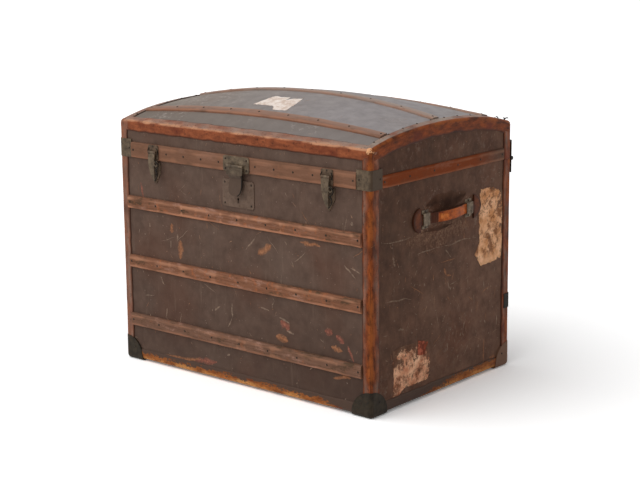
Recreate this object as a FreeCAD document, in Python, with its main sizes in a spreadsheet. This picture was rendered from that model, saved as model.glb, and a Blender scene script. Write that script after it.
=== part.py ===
import FreeCAD
import Part
import math
import os
import re
from types import SimpleNamespace

# A dome top trunk: a canvas-covered wooden chest, a swelling lid on two corner hinges,
# leather edging, wooden slats, iron clasps and a sliding leather strap handle on each end.
# Millimetres. +X is the right end, -Y the front, +Z up, and the floor is at Z = 0.

V = FreeCAD.Vector
doc = FreeCAD.newDocument("dome_top_trunk")

# Driving sizes: lengths in millimetres, angles in degrees
SIZES = {
    # Box, measured over its canvas
    "box_length": 820, "box_depth": 566, "chest_height": 534, "foot_height": 8,
    "lid_side": 92.6, "seam_gap": 0.6, "depth_shift": 1.66,
    "board": 12, "lid_board": 10, "stave": 7, "canvas": 1.2, "lining": 0.8,
    "overrun": 5,
    # Dome: rise over the ends, further swell at mid length, flat crown of the arch
    "dome_rise": 33, "dome_swell": 42.5, "crown_radius": 1500,
    # Dust lip round the mouth
    "lip_thick": 5, "lip_rise": 12, "lip_seat": 25,
    # Slats, bands and runners
    "slat_width": 33, "slat_thick": 9, "slat_round": 3, "slat_pitch": 157, "lower_slat": 103,
    "dome_slat_width": 26, "dome_slat_thick": 6, "dome_slat_round": 1.5,
    "runner_width": 33, "runner_pitch": 170, "runner_inset": 70,
    "band_height": 40, "band_thick": 6, "band_round": 1.5, "end_band_height": 30, "end_band_thick": 4,
    # Leather edging and the iron over it
    "edging_thick": 3, "edging_leg": 24, "end_leg": 30, "rear_leg": 44, "edging_round": 8,
    "cap_reach": 56, "cap_thick": 4.5, "cap_round": 10,
    "bracket_leg": 42, "bracket_height": 47, "bracket_thick": 4,
    "clip_leg": 22, "clip_height": 38, "clip_rise": 147, "clip_thick": 2,
    # Corner hinges
    "hinge_width": 40, "hinge_leaf": 2.5, "hinge_barrel": 5, "hinge_pin": 2.4, "hinge_knuckle": 15,
    "hinge_chest_leaf": 36, "hinge_lid_leaf": 47,
    # Clearances
    "pin_play": 0.05, "free_gap": 0.4, "side_play": 0.3,
    # Hasp and lock
    "iron_sheet": 2.2, "clasp_barrel": 3.4, "clasp_pin": 1.5,
    "hasp_plate_width": 85, "hasp_axis_rise": 16, "hasp_width": 53, "hasp_knuckle": 27,
    "hasp_sheet": 2.6, "hasp_leaf": 22, "hasp_crank": 8, "hasp_reach": 72, "tongue_width": 40,
    "tongue_round": 15, "hasp_rest_angle": 9,
    "staple_drop": 58, "staple_depth": 6.5, "staple_width": 4, "staple_wall": 2,
    "eye_length": 4, "eye_height": 6, "slot_play": 3, "slot_side": 0.9,
    "lock_plate_width": 104, "lock_plate_height": 68, "lock_plate_drop": 19, "plate_round": 6,
    "keyhole_rise": 21, "keyhole_radius": 3.2, "keyhole_slit": 3, "keyhole_drop": 10,
    "case_width": 72, "case_height": 54, "case_depth": 11, "case_wall": 2, "key_room": 16,
    "bolt_length": 28, "bolt_height": 10, "bolt_thick": 6, "bolt_rest": 4, "bolt_travel": 9,
    "nose_length": 12, "nose_height": 3.6, "nose_thick": 2,
    # Catches
    "catch_plate_width": 36, "catch_plate_height": 40, "catch_axis_rise": 22,
    "catch_knuckle": 10, "catch_barrel_width": 26,
    "lever_length": 76, "lever_width": 22, "lever_sheet": 3, "lever_bow": 2.6, "lever_tip": 3,
    "tip_gap": 0.8, "ring_radius": 6, "ring_wire": 1.6, "ring_drop": 28,
    "keeper_width": 38, "keeper_height": 54, "keeper_drop": 5, "stud_radius": 5, "stud_height": 1.5,
    # Handles
    "handle_drop": 98, "handle_shift": 12, "loop_reach": 89, "loop_width": 25, "loop_sheet": 2,
    "loop_flange": 7, "strap_width": 26, "strap_thick": 5, "bend_gap": 8.5, "bend_length": 26,
    "grip_bow": 12, "tab_gap": 8, "tab_radius": 30,
    # Nails
    "nail_radius": 2.8, "nail_height": 1.4, "slat_nail_pitch": 98, "band_nail_pitch": 64,
    "edge_nail_pitch": 60, "nail_inset": 8,
}

# Counts and hand-chosen shares
STAVE_COUNT = 8
SLATS = ("lower", "middle", "upper")
DOME_SLAT_SHARES = (-0.36, -0.005, 0.36)
CROWN_SHARE = 0.26
CATCH_SHARE = 0.35
STATION_SHARES = (-0.85, -0.6, -0.3, 0, 0.3, 0.6, 0.85)
SWELL_POWER = 2
LEVER_BOW_SHARE = 0.4
LEVER_WAIST_SHARE = 0.5
LEVER_WAIST_WIDTH_SHARE = 0.85
KEEPER_WAIST_SHARE = 0.5
PARALLEL_SHARE = 0.5
SLACK_SHARE = 0.0005

# Places worked out from the driving sizes
PLACES = {
    "end_face": "box_length / 2",
    "front_face": "depth_shift - box_depth / 2",
    "back_face": "depth_shift + box_depth / 2",
    "seam": "foot_height + chest_height",
    "lid_foot": "seam + seam_gap",
    "lid_edge": "seam + lid_side",
    "lid_top": "lid_edge + dome_rise + dome_swell + dome_slat_thick + overrun",
    "floor_top": "foot_height + board",
    "core_end": "end_face - canvas",
    "core_front": "front_face + canvas",
    "core_back": "back_face - canvas",
    "room_end": "core_end - board",
    "room_front": "core_front + board",
    "room_back": "core_back - board",
    "lined_end": "room_end - lining",
    "lined_front": "room_front + lining",
    "lined_back": "room_back - lining",
    "slat_end": "end_face - edging_leg",
    "rear_end": "end_face - rear_leg",
    "band_end": "end_face + edging_thick - bracket_leg",
    "band_face": "front_face - band_thick",
    "crown_half": f"box_depth * {CROWN_SHARE}",
    "catch_place": f"box_length * {CATCH_SHARE}",
    "clasp_axis_y": "band_face - iron_sheet - clasp_barrel - free_gap",
    "hasp_axis_z": "lid_foot + hasp_axis_rise",
    "catch_axis_z": "lid_foot + catch_axis_rise",
    "hinge_axis_y": "back_face + edging_thick + hinge_barrel + free_gap",
    "hinge_axis_z": "seam + seam_gap / 2",
    "hinge_out": "end_face + edging_thick",
    "hinge_in": "hinge_out - hinge_width",
    "lock_top": "seam - lock_plate_drop",
    "lock_foot": "lock_top - lock_plate_height",
    "lock_mid": "lock_foot + lock_plate_height / 2",
    "lock_face": "front_face - iron_sheet",
    "eye_z": "hasp_axis_z - staple_drop",
    "eye_y": "front_face + staple_depth - staple_wall - eye_length / 2",
    "keyhole_z": "lock_foot + keyhole_rise",
    "handle_z": "seam - handle_drop",
    "handle_y": "depth_shift + handle_shift",
    "bend_half": "loop_reach - loop_width / 2 - bend_gap",
    "grip_half": "bend_half - bend_length",
}

# Sheet of driving sizes and set of worked-out places
sheet = doc.addObject("Spreadsheet::Sheet", "size")
for row, (alias, value) in enumerate(SIZES.items(), start=1):
    sheet.set(f"A{row}", alias)
    sheet.set(f"B{row}", str(value))
    sheet.setAlias(f"B{row}", alias)
doc.recompute()


def expression(text, own=False):
    """Point each size and place named in the text to its cell or property."""
    def full(match):
        word = match.group()
        if word in SIZES:
            return "size." + word
        if word in PLACES and not own:
            return "place." + word
        return word
    return re.sub(r"[a-z_]+", full, text)


place = doc.addObject("App::VarSet", "place")
for alias, text in PLACES.items():
    place.addProperty("App::PropertyFloat", alias)
    place.setExpression(alias, expression(text, own=True))
doc.recompute()

s = SimpleNamespace(**{alias: float(sheet.get(alias)) for alias in SIZES},
                    **{alias: getattr(place, alias) for alias in PLACES})
nodes = {}


# Helpers for bodies bound to the sheet

def set_corners(item, low, high):
    """Bind a block's three sizes to the span from its low to its high corner."""
    for name, near, far in zip(("Length", "Width", "Height"), low, high):
        item.setExpression(name, expression(f"({far}) - ({near})"))


def edge_names(shape, along, outward):
    """Names of the edges that run along one direction on the outermost side of a block."""
    lines = [(number, edge) for number, edge in enumerate(shape.Edges, start=1)
             if abs(edge.tangentAt(edge.FirstParameter).dot(along)) > PARALLEL_SHARE]
    reach = max(edge.CenterOfMass.dot(outward) for number, edge in lines)
    slack = shape.BoundBox.DiagonalLength * SLACK_SHARE
    return [f"Edge{number}" for number, edge in lines
            if reach - edge.CenterOfMass.dot(outward) < slack]


def bar(label, low, high, rounding=None, along=V(1, 0, 0), outward=None):
    """A block between two corners, with the edges of its outer side rounded if asked."""
    body = doc.addObject("PartDesign::Body", label)
    block = body.newObject("PartDesign::AdditiveBox", label + "_block")
    set_corners(block, low, high)
    for axis, near in zip("xyz", low):
        body.setExpression(f"Placement.Base.{axis}", expression(near))
    doc.recompute()
    if rounding:
        fillet = body.newObject("PartDesign::Fillet", label + "_round")
        fillet.Base = (block, edge_names(block.Shape, along, outward))
        fillet.setExpression("Radius", expression(rounding))
    return body


def inside(body, kind, low, high):
    """A block added to or cut from a bar's body, its corners given in the trunk's frame."""
    item = body.newObject("PartDesign::" + kind, body.Name + "_" + kind)
    set_corners(item, low, high)
    for axis, near in zip("xyz", low):
        start = dict(body.ExpressionEngine)[f".Placement.Base.{axis}"]
        item.setExpression(f"Placement.Base.{axis}", f"({expression(near)}) - ({start})")
    return item


def keep(label, item):
    """Take a finished object as the sub-part of that name."""
    item.Label = label
    nodes[label] = item
    return item


def group(label, items):
    """Several like solids as one sub-part."""
    item = doc.addObject("Part::Compound", label + "_set")
    item.Links = items
    return keep(label, item)


def solid(label, shape):
    """A sub-part whose shape is worked out from the sheet's sizes."""
    item = doc.addObject("Part::Feature", label)
    item.Shape = shape
    return keep(label, item)


def span_box(low, high):
    """A plain block between two points."""
    low, high = V(*low), V(*high)
    size = high - low
    return Part.makeBox(size.x, size.y, size.z, low)


def rod(radius, x_from, x_to, y, z):
    """A round bar along X."""
    return Part.makeCylinder(radius, x_to - x_from, V(x_from, y, z), V(1, 0, 0))


def mirrored(shape):
    """The same shape on the left end."""
    return shape.mirror(V(0, 0, 0), V(1, 0, 0))


def extruded(edges, direction):
    """A prism from a closed run of edges."""
    return Part.Face(Part.Wire(edges)).extrude(direction)


def outline(points):
    """Straight edges through a closed run of points."""
    return Part.makePolygon(points + points[:1]).Edges


# Chest boards, canvas, lining and dust lip

def make_chest():
    keep("bottom_board", bar("bottom_board", ("-room_end", "room_front", "foot_height"),
                             ("room_end", "room_back", "floor_top")))
    front_low = ("-core_end", "core_front", "foot_height")
    front = bar("front_board", front_low, ("core_end", "room_front", "seam"))
    mortise = [("-case_width / 2 - side_play", "front_face - overrun",
                "lock_mid - case_height / 2 - side_play"),
               ("case_width / 2 + side_play", "front_face + case_depth + side_play",
                "lock_mid + case_height / 2 + side_play")]
    inside(front, "SubtractiveBox", *mortise)
    keep("front_board", front)
    keep("back_board", bar("back_board", ("-core_end", "room_back", "foot_height"),
                           ("core_end", "core_back", "seam")))
    keep("left_end_board", bar("left_end_board", ("-core_end", "room_front", "foot_height"),
                               ("-room_end", "room_back", "seam")))
    keep("right_end_board", bar("right_end_board", ("room_end", "room_front", "foot_height"),
                                ("core_end", "room_back", "seam")))
    skin = bar("chest_canvas", ("-end_face", "front_face", "foot_height"),
               ("end_face", "back_face", "seam"))
    inside(skin, "SubtractiveBox", ("-core_end", "core_front", "foot_height - overrun"),
           ("core_end", "core_back", "seam + overrun"))
    inside(skin, "SubtractiveBox", *mortise)
    keep("chest_canvas", skin)
    paper = bar("chest_lining", ("-room_end", "room_front", "floor_top"),
                ("room_end", "room_back", "seam"))
    inside(paper, "SubtractiveBox", ("-lined_end", "lined_front", "floor_top + lining"),
           ("lined_end", "lined_back", "seam + overrun"))
    keep("chest_lining", paper)
    foot, top = "seam - lip_seat", "seam + lip_rise"
    inner_front, inner_back = "lined_front + lip_thick", "lined_back - lip_thick"
    strips = [(("-lined_end", "lined_front", foot), ("lined_end", inner_front, top)),
              (("-lined_end", inner_back, foot), ("lined_end", "lined_back", top)),
              (("-lined_end", inner_front, foot), ("lip_thick - lined_end", inner_back, top)),
              (("lined_end - lip_thick", inner_front, foot), ("lined_end", inner_back, top))]
    group("dust_lip", [bar(f"lip_strip_{number}", *corners) for number, corners in enumerate(strips)])


# Slats on the front and back, and runners under the bottom

def make_slats():
    back_bars = []
    for number, level in enumerate(SLATS):
        middle = f"foot_height + lower_slat + {number} * slat_pitch"
        low, high = f"{middle} - slat_width / 2", f"{middle} + slat_width / 2"
        name = f"front_slat_{level}"
        keep(name, bar(name, ("-slat_end", "front_face - slat_thick", low),
                       ("slat_end", "front_face", high), "slat_round", outward=V(0, -1, 0)))
        back_bars.append(bar(f"back_slat_{level}", ("-rear_end", "back_face", low),
                             ("rear_end", "back_face + slat_thick", high),
                             "slat_round", outward=V(0, 1, 0)))
    group("back_slats", back_bars)
    runners = []
    for number in (-1, 0, 1):
        middle = f"depth_shift + {number} * runner_pitch"
        low = ("runner_inset - end_face", f"{middle} - runner_width / 2", "0")
        high = ("end_face - runner_inset", f"{middle} + runner_width / 2", "foot_height")
        runners.append(bar(f"runner_{number + 1}", low, high, "slat_round", outward=V(0, 0, -1)))
    group("floor_runners", runners)


# Leather edging of the chest

def angle_strip(leg_a, leg_b, thick, rounding, length):
    """An L-shaped strip along Z round the edge of a block that fills -X and -Y."""
    bend = thick - rounding
    middle = bend + rounding * math.sqrt(0.5)
    edges = outline([V(thick, bend, 0), V(thick, -leg_b, 0), V(0, -leg_b, 0), V(0, 0, 0),
                     V(-leg_a, 0, 0), V(-leg_a, thick, 0), V(bend, thick, 0)])[:-1]
    edges.append(Part.Arc(V(bend, thick, 0), V(middle, middle, 0), V(thick, bend, 0)).toShape())
    return extruded(edges, V(0, 0, length))


def turned(shape, origin, x_axis, y_axis):
    """A shape moved so that its own X and Y lie along the given directions."""
    z_axis = x_axis.cross(y_axis)
    shape.Placement = FreeCAD.Placement(origin, FreeCAD.Rotation(x_axis, y_axis, z_axis, "ZXY"))
    return shape


# Box corners: outward direction along X and Y, first and second axis of the strip's own frame
CORNERS = {
    "front_right": (V(0, -1, 0), V(1, 0, 0)),
    "front_left": (V(-1, 0, 0), V(0, -1, 0)),
    "back_left": (V(0, 1, 0), V(-1, 0, 0)),
    "back_right": (V(1, 0, 0), V(0, 1, 0)),
}


def corner_strip(corner, face_leg, side_leg, thick, rounding, z_from, z_to):
    """An upright strip round one corner of the box, its legs on the long face and on the end."""
    x_axis, y_axis = CORNERS[corner]
    legs = (side_leg, face_leg) if y_axis.x else (face_leg, side_leg)
    x_side = x_axis.x + y_axis.x
    y_side = x_axis.y + y_axis.y
    origin = V(x_side * s.end_face, s.back_face if y_side > 0 else s.front_face, z_from)
    return turned(angle_strip(*legs, thick, rounding, z_to - z_from), origin, x_axis, y_axis)


def face_leg(corner):
    """Leg of the upright edging on the long face of that corner."""
    return s.rear_leg if corner.startswith("back") else s.edging_leg


def make_chest_edging():
    uprights = [corner_strip(corner, face_leg(corner), s.end_leg, s.edging_thick, s.edging_round,
                             s.foot_height, s.seam) for corner in CORNERS]
    solid("corner_edging", Part.makeCompound(uprights))
    leg, thick, rounding = s.edging_leg, s.edging_thick, s.edging_round
    down = V(0, 0, -1)
    front_start = V(-s.slat_end, s.front_face, s.foot_height)
    back_start = V(-s.rear_end, s.back_face, s.foot_height)
    side_start = s.front_face + s.end_leg
    side_length = s.box_depth - 2 * s.end_leg
    feet = [turned(angle_strip(leg, leg, thick, rounding, 2 * s.slat_end), front_start, V(0, -1, 0), down),
            turned(angle_strip(leg, leg, thick, rounding, 2 * s.rear_end), back_start, down, V(0, 1, 0)),
            turned(angle_strip(leg, leg, thick, rounding, side_length),
                   V(s.end_face, side_start, s.foot_height), V(1, 0, 0), down),
            turned(angle_strip(leg, leg, thick, rounding, side_length),
                   V(-s.end_face, side_start, s.foot_height), down, V(-1, 0, 0))]
    solid("bottom_edging", Part.makeCompound(feet))
    make_caps(uprights + feet)
    clips = []
    for corner in ("back_left", "back_right"):
        strip = corner_strip(corner, s.clip_leg, s.clip_leg, s.edging_thick + s.clip_thick,
                             s.edging_round + s.clip_thick, s.foot_height + s.clip_rise,
                             s.foot_height + s.clip_rise + s.clip_height)
        clips.append(strip.cut(Part.makeCompound(uprights)))
    solid("rear_clips", Part.makeCompound(clips))


# Iron caps that close over the edging at the four bottom corners

def make_caps(edging):
    reach, thick, foot = s.cap_reach, s.cap_thick, s.foot_height
    block = span_box((-reach, -reach, -foot), (thick, thick, reach))
    rim = [edge for edge in block.Edges
           if sum((edge.BoundBox.XMin > 0, edge.BoundBox.YMin > 0, edge.BoundBox.ZMax < 0)) == 2]
    shell = block.makeFillet(s.cap_round, rim).common(Part.makeSphere(reach))
    shell = shell.cut(span_box((-reach, -reach, 0), (0, 0, reach)))
    caps = []
    for x_axis, y_axis in CORNERS.values():
        outward = x_axis + y_axis
        origin = V(outward.x * s.end_face, s.back_face if outward.y > 0 else s.front_face, foot)
        caps.append(turned(shell.copy(), origin, x_axis, y_axis).cut(Part.makeCompound(edging)))
    solid("corner_caps", Part.makeCompound(caps))


# Dome of the lid: arched sections carried along X, higher at mid length

def dome_arch(x, inset):
    """Centres and radii of the crown and haunch arcs of the section at x, moved inwards by inset."""
    share = abs(x) / s.end_face
    rise = s.dome_rise + s.dome_swell * (1 - share ** SWELL_POWER)
    crown = s.crown_radius * s.dome_rise / rise
    turn = math.asin(s.crown_half / crown)
    crown_z = s.lid_edge + rise - crown
    join = V(0, s.crown_half, crown_z + crown * math.cos(turn))
    inward = V(0, -math.sin(turn), -math.cos(turn))
    chord = V(0, s.box_depth / 2, s.lid_edge) - join
    haunch = chord.dot(chord) / (2 * inward.dot(chord))
    return crown_z, crown - inset, turn, join + inward * haunch, haunch - inset


def dome_height(x, y, inset):
    """Height of the dome at a place on it, measured y from its ridge."""
    crown_z, crown, turn, centre, haunch = dome_arch(x, inset)
    if abs(y) < crown * math.sin(turn):
        return crown_z + math.sqrt(crown ** 2 - y ** 2)
    return centre.z + math.sqrt(haunch ** 2 - (abs(y) - centre.y) ** 2)


def dome_section(x, inset, side):
    """Closed wire across the lid at x, arch moved inwards by inset and walls by side."""
    crown_z, crown, turn, centre, haunch = dome_arch(x, inset)
    half = s.box_depth / 2 - side
    end_turn = math.asin((half - centre.y) / haunch)
    mid_turn = (turn + end_turn) / 2

    def on_haunch(angle, sign):
        across = centre.y + haunch * math.sin(angle)
        return V(x, s.depth_shift + sign * across, centre.z + haunch * math.cos(angle))

    left = [on_haunch(angle, -1) for angle in (end_turn, mid_turn, turn)]
    right = [on_haunch(angle, 1) for angle in (turn, mid_turn, end_turn)]
    foot = s.seam - s.overrun
    low_left, low_right = V(x, left[0].y, foot), V(x, right[-1].y, foot)
    return Part.Wire([Part.makeLine(low_left, left[0]), Part.Arc(*left).toShape(),
                      Part.Arc(left[-1], V(x, s.depth_shift, crown_z + crown), right[0]).toShape(),
                      Part.Arc(*right).toShape(), Part.makeLine(right[-1], low_right),
                      Part.makeLine(low_right, low_left)])


def dome_block(inset, side):
    """Everything under the dome moved inwards by inset, from below the seam up."""
    far = s.end_face + s.edging_thick + s.overrun
    stations = [-far] + [share * s.end_face for share in STATION_SHARES] + [far]
    return Part.makeLoft([dome_section(x, inset, side) for x in stations], True, False)


def lid_box(x_half, y_from=None, y_to=None, z_from=None):
    """A trimming block across the lid, as wide and deep as asked and open to the top."""
    y_from = s.front_face - s.box_depth if y_from is None else y_from
    y_to = s.back_face + s.box_depth if y_to is None else y_to
    z_from = s.lid_foot if z_from is None else z_from
    return span_box((-x_half, y_from, z_from), (x_half, y_to, s.lid_top + s.lid_side))


def make_lid():
    outer = dome_block(0, 0)
    cover = dome_block(s.canvas, s.canvas)
    under = s.canvas + s.stave
    hollow = dome_block(under, s.canvas - s.overrun)
    room_half = s.core_end - s.lid_board
    room_front, room_back = s.core_front + s.lid_board, s.core_back - s.lid_board
    below = s.seam - s.overrun
    shell = outer.common(lid_box(s.end_face))
    solid("lid_canvas", shell.cut(cover.common(lid_box(s.core_end, z_from=below))))
    ring = cover.common(lid_box(s.core_end)).cut(hollow)
    depth = (s.core_back - s.core_front) / STAVE_COUNT
    edges = [s.core_front + number * depth for number in range(STAVE_COUNT + 1)]
    staves = [ring.common(lid_box(s.end_face, *span)) for span in zip(edges, edges[1:])]
    solid("dome_staves", Part.makeCompound(staves))
    solid("lid_front_board", hollow.common(lid_box(s.core_end, s.core_front, room_front)))
    solid("lid_back_board", hollow.common(lid_box(s.core_end, room_back, s.core_back)))
    walls = hollow.common(lid_box(s.core_end, room_front, room_back)).cut(lid_box(room_half, z_from=below))
    left, right = sorted(walls.Solids, key=lambda wall: wall.CenterOfMass.x)
    solid("lid_left_end_board", left)
    solid("lid_right_end_board", right)
    sheet_out = hollow.common(lid_box(room_half, room_front, room_back))
    inner = dome_block(under + s.lining, s.canvas - s.overrun)
    sheet_in = inner.common(lid_box(room_half - s.lining, room_front + s.lining,
                                    room_back - s.lining, below))
    solid("lid_lining", sheet_out.cut(sheet_in))
    make_lid_trim(outer)


# Bands, bent slats, edging and brackets of the lid

def rounded(shape, radius, chosen):
    """Round the edges of a shape that a test picks out."""
    return shape.makeFillet(radius, [edge for edge in shape.Edges if chosen(edge.CenterOfMass, edge)])


def make_lid_trim(outer):
    top = "lid_foot + band_height"
    keep("front_band", bar("front_band", ("-band_end", "band_face", "lid_foot"),
                           ("band_end", "front_face", top), "band_round", outward=V(0, -1, 0)))
    keep("back_band", bar("back_band", ("-rear_end", "back_face", "lid_foot"),
                          ("rear_end", "back_face + band_thick", top), "band_round", outward=V(0, 1, 0)))
    low_y, high_y = "front_face - edging_thick + bracket_leg", "back_face - end_leg"
    end_top = "lid_foot + end_band_height"
    left_band = bar("left_band", ("-end_face - end_band_thick", low_y, "lid_foot"),
                    ("-end_face", high_y, end_top), "band_round", V(0, 1, 0), V(-1, 0, 0))
    right_band = bar("right_band", ("end_face", low_y, "lid_foot"),
                     ("end_face + end_band_thick", high_y, end_top), "band_round", V(0, 1, 0), V(1, 0, 0))
    group("end_bands", [left_band, right_band])
    raised = dome_block(-s.dome_slat_thick, -s.overrun)
    below = dome_block(0, -2 * s.overrun)

    def long_top(centre, edge):
        """The two long upper edges of a bent slat."""
        upper = dome_height(0, centre.y - s.depth_shift, -s.dome_slat_thick / 2) - s.dome_swell
        return edge.BoundBox.XLength > s.box_length / 2 and centre.z > upper

    bent = []
    for share in DOME_SLAT_SHARES:
        middle = s.depth_shift + share * s.box_depth
        trim = lid_box(s.slat_end, middle - s.dome_slat_width / 2, middle + s.dome_slat_width / 2)
        bent.append(rounded(raised.common(trim).cut(below), s.dome_slat_round, long_top))
    solid("dome_slats", Part.makeCompound(bent))
    far = s.end_face + s.edging_thick
    foot = s.lid_edge - s.edging_leg
    leather = dome_block(-s.edging_thick, -s.edging_thick).common(lid_box(far, z_from=foot))

    def rim(centre, edge):
        """The long edges where wall turns to dome, and every edge round the two ends but the lowest."""
        box = edge.BoundBox
        on_wall = centre.y < s.front_face or centre.y > s.back_face
        return centre.z > foot + s.edging_thick and (box.XLength < s.edging_thick or on_wall)

    leather = rounded(leather, s.edging_round, rim).cut(outer.common(lid_box(s.end_face, z_from=s.seam)))
    solid("lid_front_edging", leather.common(lid_box(s.slat_end, y_to=s.front_face + s.edging_leg)))
    solid("lid_back_edging", leather.common(lid_box(s.slat_end, y_from=s.back_face - s.edging_leg)))
    end_skin = leather.common(span_box((s.slat_end, s.front_face - s.box_depth, s.seam),
                                       (far, s.back_face + s.box_depth, s.lid_top)))
    right = end_skin.cut(dome_block(s.edging_leg, s.end_leg))
    solid("right_arch_edging", right)
    solid("left_arch_edging", mirrored(right))
    uprights = []
    for corner in CORNERS:
        start = s.lid_foot if corner.startswith("back") else s.lid_foot + s.bracket_height
        uprights.append(corner_strip(corner, face_leg(corner), s.end_leg, s.edging_thick, s.edging_round,
                                     start, foot))
    solid("lid_corner_edging", Part.makeCompound(uprights))
    leg = s.bracket_leg - s.edging_thick
    plates = [corner_strip(corner, leg, leg, s.bracket_thick, s.edging_round, s.lid_foot,
                           s.lid_foot + s.bracket_height) for corner in ("front_left", "front_right")]
    solid("lid_brackets", Part.makeCompound(plates))


# Corner hinges: leaves on the leather of chest and lid, knuckles on a pin behind the back

def make_hinges():
    y, z = s.hinge_axis_y, s.hinge_axis_z
    leaf_in = s.back_face + s.edging_thick
    leaf_out = leaf_in + s.hinge_leaf
    middle = (s.hinge_in + s.hinge_out) / 2
    inner, outer = middle - s.hinge_knuckle / 2, middle + s.hinge_knuckle / 2
    bore = rod(s.hinge_pin + s.pin_play, s.hinge_in - s.overrun, s.hinge_out + s.overrun, y, z)
    room = s.hinge_barrel + s.free_gap

    def leaf(z_from, z_to, spans, gaps):
        shape = span_box((s.hinge_in, leaf_in, z_from), (s.hinge_out, leaf_out, z_to))
        for x_from, x_to in gaps:
            shape = shape.cut(span_box((x_from, leaf_in - s.overrun, z - room), (x_to, y + room, z + room)))
        for x_from, x_to in spans:
            shape = shape.fuse(rod(s.hinge_barrel, x_from, x_to, y, z))
        return shape.removeSplitter().cut(bore)

    gap_in, gap_out = inner - s.side_play, outer + s.side_play
    chest_leaf = leaf(z - s.hinge_chest_leaf, z, [(s.hinge_in, gap_in), (gap_out, s.hinge_out)],
                      [(gap_in, gap_out)])
    lid_leaf = leaf(z, z + s.hinge_lid_leaf, [(inner, outer)],
                    [(s.hinge_in - s.overrun, inner), (outer, s.hinge_out + s.overrun)])
    pin = rod(s.hinge_pin, s.hinge_in, s.hinge_out, y, z)
    solid("hinge_chest_leaves", Part.makeCompound([chest_leaf, mirrored(chest_leaf)]))
    solid("hinge_lid_leaves", Part.makeCompound([lid_leaf, mirrored(lid_leaf)]))
    solid("hinge_pins", Part.makeCompound([pin, mirrored(pin)]))


# Hasp on the lid, lock plate, case and bolt on the chest

def clasp_plate(x_mid, width, z_from, z_to, axis_z, barrel_width, knuckle):
    """A plate on the front band with a pair of knuckles that leave room for a third between them."""
    y = s.clasp_axis_y
    face = s.band_face - s.iron_sheet
    plate = span_box((x_mid - width / 2, face, z_from), (x_mid + width / 2, s.band_face, z_to))
    plate = rounded(plate, s.plate_round, lambda centre, edge: edge.BoundBox.YLength > s.iron_sheet / 2)
    gap = knuckle / 2 + s.side_play
    for x_from, x_to in ((x_mid - barrel_width / 2, x_mid - gap), (x_mid + gap, x_mid + barrel_width / 2)):
        plate = plate.fuse(span_box((x_from, y, axis_z - s.clasp_barrel), (x_to, face, axis_z)))
        plate = plate.fuse(rod(s.clasp_barrel, x_from, x_to, y, axis_z))
    bore = rod(s.clasp_pin + s.pin_play, x_mid - width, x_mid + width, y, axis_z)
    return plate.removeSplitter().cut(bore)


def clasp_pin(x_mid, length, axis_z):
    return rod(s.clasp_pin, x_mid - length / 2, x_mid + length / 2, s.clasp_axis_y, axis_z)


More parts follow.
